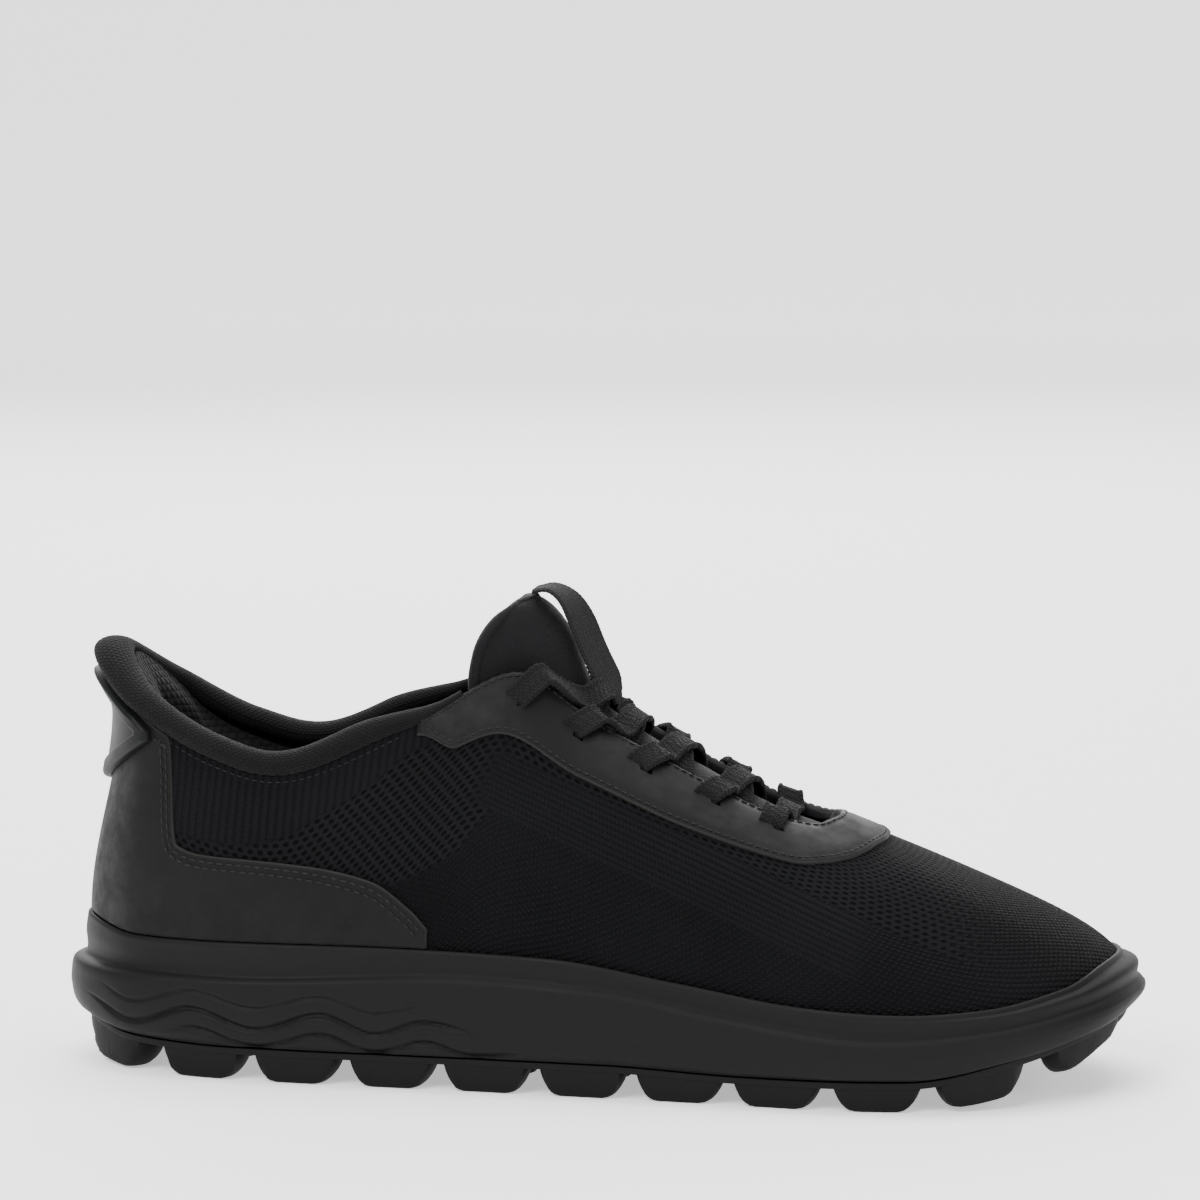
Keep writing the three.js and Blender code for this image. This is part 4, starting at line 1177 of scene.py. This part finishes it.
TONGUE = [
    ([71, 66.6], [69, 11, 63.6]), ([63, 69.2], [60, 16.5, 61]), ([48, 74.8], [44, 20.5, 62]),
    ([30, 84.2], [26, 22.5, 69.8]), ([12, 94], [6, 22.5, 78.2]), ([0, 103], [-12, 23, 87.2]),
    ([-4.5, 113], [-30, 21.5, 102]), ([-8.5, 121.5], [-31, 19, 117]), ([-14, 129], [-25, 14, 127.5]),
    ([-18, 132.4], [-21, 6, 131.5]),
]
TONGUE_MIDDLE = np.array([[m[0], 0, m[1]] for m, _ in TONGUE], float)
TONGUE_SIDE = np.array([side for _, side in TONGUE], float)
LAST = len(TONGUE) - 1


def on_tongue(along, across):
    along, across = np.broadcast_arrays(np.asarray(along, float), np.asarray(across, float))
    t = np.clip(along, 0, 1) * LAST
    middle, side = catmull(TONGUE_MIDDLE, t), catmull(TONGUE_SIDE, t)
    fall = across**2
    return np.stack([middle[..., 0] + (side[..., 0] - middle[..., 0]) * fall,
                     side[..., 1] * across * (1 + TONGUE_BULGE * (1 - fall)),
                     middle[..., 2] + (side[..., 2] - middle[..., 2]) * fall], -1)


def tongue_normal(along, across):
    along, across = np.broadcast_arrays(np.asarray(along, float), np.asarray(across, float))
    step = 0.02
    forward = on_tongue(along + step, across) - on_tongue(along - step, across)
    sideways = on_tongue(along, across + step) - on_tongue(along, across - step)
    return unit(np.cross(sideways, forward))


def tongue_layer(name, outer, inner, margin, puff=0.0, round_radius=0.4):
    along = margin + (1 - 2 * margin) * even_with_edges(112, 1.5)
    across = -1 + margin + (2 - 2 * margin) * even_with_edges(46, 1.2)
    a, c = np.meshgrid(along, across, indexing="ij")
    face = on_tongue(a, c)
    normal = tongue_normal(a, c)
    long, wide = arc_lengths(face, 0), arc_lengths(face, 1)
    edge = np.minimum(np.minimum(long, long[-1:] - long), np.minimum(wide, wide[:, -1:] - wide))
    crease = wrinkles(face, 0.3) * smoothstep(edge, 1, 8)
    swell = puff * smoothstep(edge, 0.5, 9) * smoothstep(a, 0.62, 0.8)
    depth = outer - swell - crease * (puff > 0) + rounded(edge, round_radius)
    weave = together(long, wide, 0.0)
    return shell(name, face - normal * depth[..., None], face - normal * inner,
                 attributes={"weave": weave, "edge": edge}, body="tongue")


FOAM_OUT = TONGUE_COVER_WALL + LAYER_GAP
dress(tongue_layer("tongue_outer", 0, TONGUE_COVER_WALL, 0.005, 0.9), LYCRA, "tongue_textile",
      "tongue_cover")
tongue_foam = dress(tongue_layer("tongue_padding", FOAM_OUT, FOAM_OUT + TONGUE_FOAM_WALL, 0.04, 0, 1.2),
                    FOAM, "footbed_foam", "tongue_foam")
LINING_OUT = FOAM_OUT + TONGUE_FOAM_WALL + LAYER_GAP
dress(tongue_layer("tongue_inner", LINING_OUT, LINING_OUT + TONGUE_COVER_WALL, 0.02), INSIDE,
      "lining_textile", "tongue_lining")


def tongue_piping():
    """A bound edge round the free part of the tongue, that closes its cover, foam and lining."""
    brink = 0.985  # of the tongue, where its edge runs
    up = np.linspace(0.5, brink, 150)
    top = np.linspace(-brink, brink, 90)
    along = smoothed(np.concatenate([up, np.full(90, brink), up[::-1]]), 14)
    across = smoothed(np.concatenate([np.full(150, -brink), top, np.full(150, brink)]), 14)
    path = on_tongue(along, across)
    normal = tongue_normal(along, across)
    run = unit(np.gradient(path, axis=0))
    side = unit(np.cross(run, normal))
    turns = around_once(20)
    thick, wide = 3.0, 2.0
    step = np.arange(len(path))
    taper = smoothstep(step, 0, 25) * (1 - smoothstep(step, len(path) - 25, len(path) - 1))
    raised = (thick * np.sin(turns))[None, :, None] * (0.55 + 0.45 * taper)[:, None, None]
    centre = path - normal * (thick - 0.35)
    sections = (centre[:, None] + normal[:, None] * raised
                + side[:, None] * (wide * np.cos(turns))[None, :, None])
    weave = together(arc_lengths(path, 0)[:, None], turns * 2.5, 0.0)
    return tube("tongue_piping", sections, weave, body="tongue", sharp=70)


dress(tongue_piping(), LYCRA, "tongue_textile")

LOOP_ROUTE = np.array([[-18, 0, 132.8], [-13.5, 0, 133.4], [-9, 0, 130.4], [-5.4, 0, 124.2], [-2.2, 0, 116.5],
                       [1.2, 0, 109.5], [3.6, 0, 105.2], [4.2, 0, 101.9]], float)
LOOP_TWIST = math.radians(24)  # the webbing turns its outer face a little to the lateral side


def pull_loop():
    """Woven webbing: ribbed along its length, with a rounded selvedge."""
    t = np.linspace(0, 1, 220)
    line = catmull(LOOP_ROUTE, t * (len(LOOP_ROUTE) - 1))
    ahead = unit(np.gradient(line, axis=0))
    out = np.stack([-ahead[:, 2], 0 * t, ahead[:, 0]], -1)
    width = LOOP_WIDTH + (LOOP_END_WIDTH - LOOP_WIDTH) * smoothstep(t, 0.72, 0.95)
    columns = 30
    across = np.cos(np.linspace(0, math.pi, columns))
    a = np.broadcast_to(across[None], (len(t), columns))
    length = arc_lengths(line, 0)[:, None]
    selvedge = 0.12 * np.exp(-(((np.abs(a) - 0.86) / 0.06) ** 2))
    ribs = 0.07 * np.cos(a * width[:, None] / 2 * 2 * math.pi / 1.3)
    weft = 0.04 * np.cos(length * 2 * math.pi / 1.1)
    half = LOOP_WALL / 2 * np.sqrt(np.clip(1 - np.abs(a) ** 8, 0.02, 1)) + selvedge + ribs + weft
    twist = (LOOP_TWIST * smoothstep(t, 0.05, 0.45) * (1 - 0.6 * smoothstep(t, 0.75, 1)))[:, None]
    side = np.array([0, 1, 0]) * np.cos(twist) + out * np.sin(twist)
    face = out * np.cos(twist) - np.array([0, 1, 0]) * np.sin(twist)
    middle = (line[:, None] + out[:, None] * LOOP_WALL / 2
              + side[:, None] * (a * width[:, None] / 2)[..., None])
    outer = middle + face[:, None] * half[..., None]
    inner = middle - face[:, None] * half[..., None]
    weave = together(length, a * LOOP_WIDTH / 2, 0.0)
    return shell("pull_loop_webbing", outer, inner, attributes={"weave": weave}, body="tongue")


dress(pull_loop(), WEBBING, "webbing", "pull_loop")

# ---------------------------------------------------------------- lace

tongue_abreast = profile([[2.4, 0.15], [3, 0.24], [3.74, 0.34], [4.48, 0.44], [5.21, 0.515], [5.95, 0.63]])


def lace_route():
    """The middle and the width's direction at each point of the lace's route."""
    at, across = [], []
    half = LACE_WALL / 2
    on_top = LAYER_GAP + OVERLAY_WALL + LACE_LIFT + half
    beneath = -KNIT_WALL - LAYER_GAP - GAP - half
    lying = LAYER_GAP + GAP + half
    humped = lying + LACE_WALL + GAP

    def slot_point(side, slot, rise, offset, ahead=0.0, lean=0.0):
        station = -side * (SLOT_STATIONS[slot] - ahead) % ROUND
        out = outward(station, SLOT_RISE)
        up = on_skin(station, SLOT_RISE + 0.05) - on_skin(station, SLOT_RISE - 0.05)
        up = unit(up - out * (up @ out))
        along = np.cross(up, out)
        along = along if along[0] > 0 else -along
        at.append(off_skin(station, rise, offset))
        across.append(along * math.cos(lean) - up * math.sin(lean))

    # rise, offset from the skin, how far towards the toe in stations, how far the strand leans that way
    run_on_top = [(SLOT_RISE, -1.4, 0, 0.4), (SLOT_RISE + 0.008, 0.9, 0.01, LACE_LEAN),
                  (SLOT_RISE + 0.025, on_top - 0.5, 0.05, LACE_LEAN),
                  (SLOT_RISE + 0.05, on_top, 0.1, LACE_LEAN),
                  (0.945, on_top + 0.1, 0.16, LACE_LEAN), (0.975, on_top + 0.1, 0.21, LACE_LEAN),
                  (1, on_top + 0.2, 0.26, 0.45)]
    run_beneath = [(SLOT_RISE + 0.03, beneath, -0.03, 0.1), (0.93, beneath, -0.07, 0.15),
                   (0.965, beneath, -0.11, 0.2), (1, beneath - 0.2, -0.14, 0.25)]

    def strand(side, start, start_run, end, end_run, height):
        for point in start_run:
            slot_point(side, start, *point)
        for share in (0.18, 0.34, 0.5, 0.66, 0.82):
            first = tongue_abreast(SLOT_STATIONS[start] - start_run[-1][2])
            along = first + (tongue_abreast(SLOT_STATIONS[end] - end_run[-1][2]) - first) * share
            over = side * (1 - 2 * share) * LACE_REACH
            near_top = (start_run if share < 0.5 else end_run) is run_on_top
            bridge = LACE_BRIDGE * abs(2 * share - 1) ** 2 if near_top else 0
            hump = (height - lying) * min(2.2 * (1 - abs(2 * share - 1)), 1)
            at.append(on_tongue(along, over) + tongue_normal(along, over) * (lying + hump + bridge))
            across.append(unit(on_tongue(along - 0.02, over) - on_tongue(along + 0.02, over)))
        for point in end_run[::-1]:
            slot_point(-side, end, *point)
        at.pop()
        across.pop()

    last = len(SLOT_STATIONS) - 1
    slot_point(-1, 0, SLOT_RISE + 0.07, beneath)
    slot_point(-1, 0, SLOT_RISE + 0.035, beneath)
    side = -1
    for slot in range(last):
        strand(side, slot, run_on_top, slot + 1, run_beneath, humped if side < 0 else lying)
        side = -side
    strand(side, last, run_on_top, last, run_on_top, lying)
    side = -side
    for slot in range(last, 0, -1):
        strand(side, slot, run_beneath, slot - 1, run_on_top, humped if side > 0 else lying)
        side = -side
    slot_point(side, 0, SLOT_RISE, 0)
    slot_point(side, 0, SLOT_RISE + 0.035, beneath)
    slot_point(side, 0, SLOT_RISE + 0.07, beneath)
    return np.array(at), np.array(across)


def lace():
    """A flat elastic braid: two ribbed rims and diagonal plaits between them."""
    at, across = lace_route()
    fine = np.linspace(0, len(at) - 1, (len(at) - 1) * 14 + 1)
    curve = catmull(at, fine)
    wide = catmull(across, fine)
    length = arc_lengths(curve, 0)
    steps = np.arange(0, length[-1], 0.45)
    curve = smoothed(at_lengths(steps, length, curve), 30)
    wide = smoothed(at_lengths(steps, length, wide), 120)
    ahead = unit(np.gradient(curve, axis=0))
    wide = unit(wide - ahead * (wide * ahead).sum(-1, keepdims=True))
    thick = np.cross(wide, ahead)
    columns = 15
    w = np.cos(np.linspace(0, math.pi, columns))
    top = np.concatenate([w, -w[1:-1]])
    sign = np.concatenate([np.ones(columns), -np.ones(columns - 2)])
    edge = np.abs(top)
    on_rim = edge > 0.62
    body = np.clip(np.where(on_rim, 1 - ((edge - 0.8) / 0.28) ** 2, 0.62), 0, 1)
    body[[0, columns - 1]] = 0
    s = steps[:, None]
    plait = 0.16 * np.sin(2 * math.pi * (s / 2.3 + edge[None] * sign[None] * 0.8 + (top[None] > 0) * 0.5))
    rim = 0.16 * np.sin(2 * math.pi * s / 1.5)
    height = (LACE_WALL / 2 - 0.06) * body[None] + np.where(on_rim[None], rim, plait) * (body[None] > 0)
    half = LACE_WIDTH / 2 * (1 + 0.018 * np.sin(2 * math.pi * s / 1.5))
    sections = (curve[:, None] + wide[:, None] * (top[None] * half)[..., None]
                + thick[:, None] * (sign[None] * height)[..., None])
    return tube("elastic_lace_braid", sections, together(s, top * LACE_WIDTH / 2, 0.0), sharp=75)


dress(lace(), BRAID, "lace_braid", "elastic_lace")

# ---------------------------------------------------------------- hidden CAD pieces that stay

for node in ("strobel_board", "toe_puff", "heel_counter"):
    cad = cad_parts[node]
    for index in range(max(len(cad.material_slots), 1)):
        if cad.material_slots:
            cad.material_slots[index].material = FOAM
        else:
            cad.data.materials.append(FOAM)

# ---------------------------------------------------------------- studio


def studio_floor():
    """A pale sheet that lies under the shoe and curves up far behind it."""
    radius, flat_end, wall, half_width = 1.2, 3.0, 5.0, 8.0
    under = 0.0002  # the sheet lies this far below the ground, so no pod touches it
    line = [(-6.0, 0.0), (-2.0, 0.0), (0.0, 0.0), (flat_end, 0.0)]
    line += [(flat_end + radius * math.sin(t), radius * (1 - math.cos(t)))
             for t in np.linspace(0, math.pi / 2, 24)[1:]]
    line.append((flat_end + radius, wall))
    points = [(x, y, z - under) for y, z in line for x in (-half_width, half_width)]
    faces = [(2 * i, 2 * i + 1, 2 * i + 3, 2 * i + 2) for i in range(len(line) - 1)]
    mesh = bpy.data.meshes.new("studio_floor")
    mesh.from_pydata(points, [], faces)
    mesh.polygons.foreach_set("use_smooth", [True] * len(faces))
    made = bpy.data.objects.new("studio_floor", mesh)
    bpy.context.scene.collection.objects.link(made)
    far = mesh.attributes.new("far", "FLOAT", "POINT")
    far.data.foreach_set("value", smoothstep([y for _, y, _ in points], 0.5, flat_end + radius))
    look = Look("studio", Specular_IOR_Level=0.1, Emission_Color=(1, 1, 1, 1))
    look.link(look.span(look.attribute("far"), 0, 1, 0.6, 1.2), look.shader.inputs["Emission Strength"])
    paper = look.noise(60, 4)
    made.data.materials.append(look.finish(look.blend(paper, grey(0.86), grey(0.90)), 0.9))


studio_floor()


def softbox(name, place, aim, size, watts):
    light = bpy.data.lights.new(name, "AREA")
    light.shape = "RECTANGLE"
    light.size, light.size_y = size
    light.energy = watts
    made = bpy.data.objects.new(name, light)
    made.location = place
    made.rotation_mode = "QUATERNION"
    made.rotation_quaternion = (Vector(aim) - Vector(place)).to_track_quat("-Z", "Y")
    bpy.context.scene.collection.objects.link(made)


softbox("key", (-0.7, -1.5, 1.5), (0, 0, 0.05), (1.2, 0.9), 46)
softbox("fill", (1.4, -1.2, 0.8), (0, 0, 0.05), (1.0, 1.0), 15)
softbox("top", (0.0, 0.3, 1.9), (0, 0, 0.05), (1.8, 1.2), 52)
softbox("back", (-0.4, 1.8, 1.1), (0, 0, 0.08), (1.6, 0.7), 30)

world = bpy.data.worlds.new("studio")
bpy.context.scene.world = world
world.use_nodes = True
world.node_tree.nodes["Background"].inputs["Color"].default_value = (1, 1, 1, 1)
world.node_tree.nodes["Background"].inputs["Strength"].default_value = 0.5
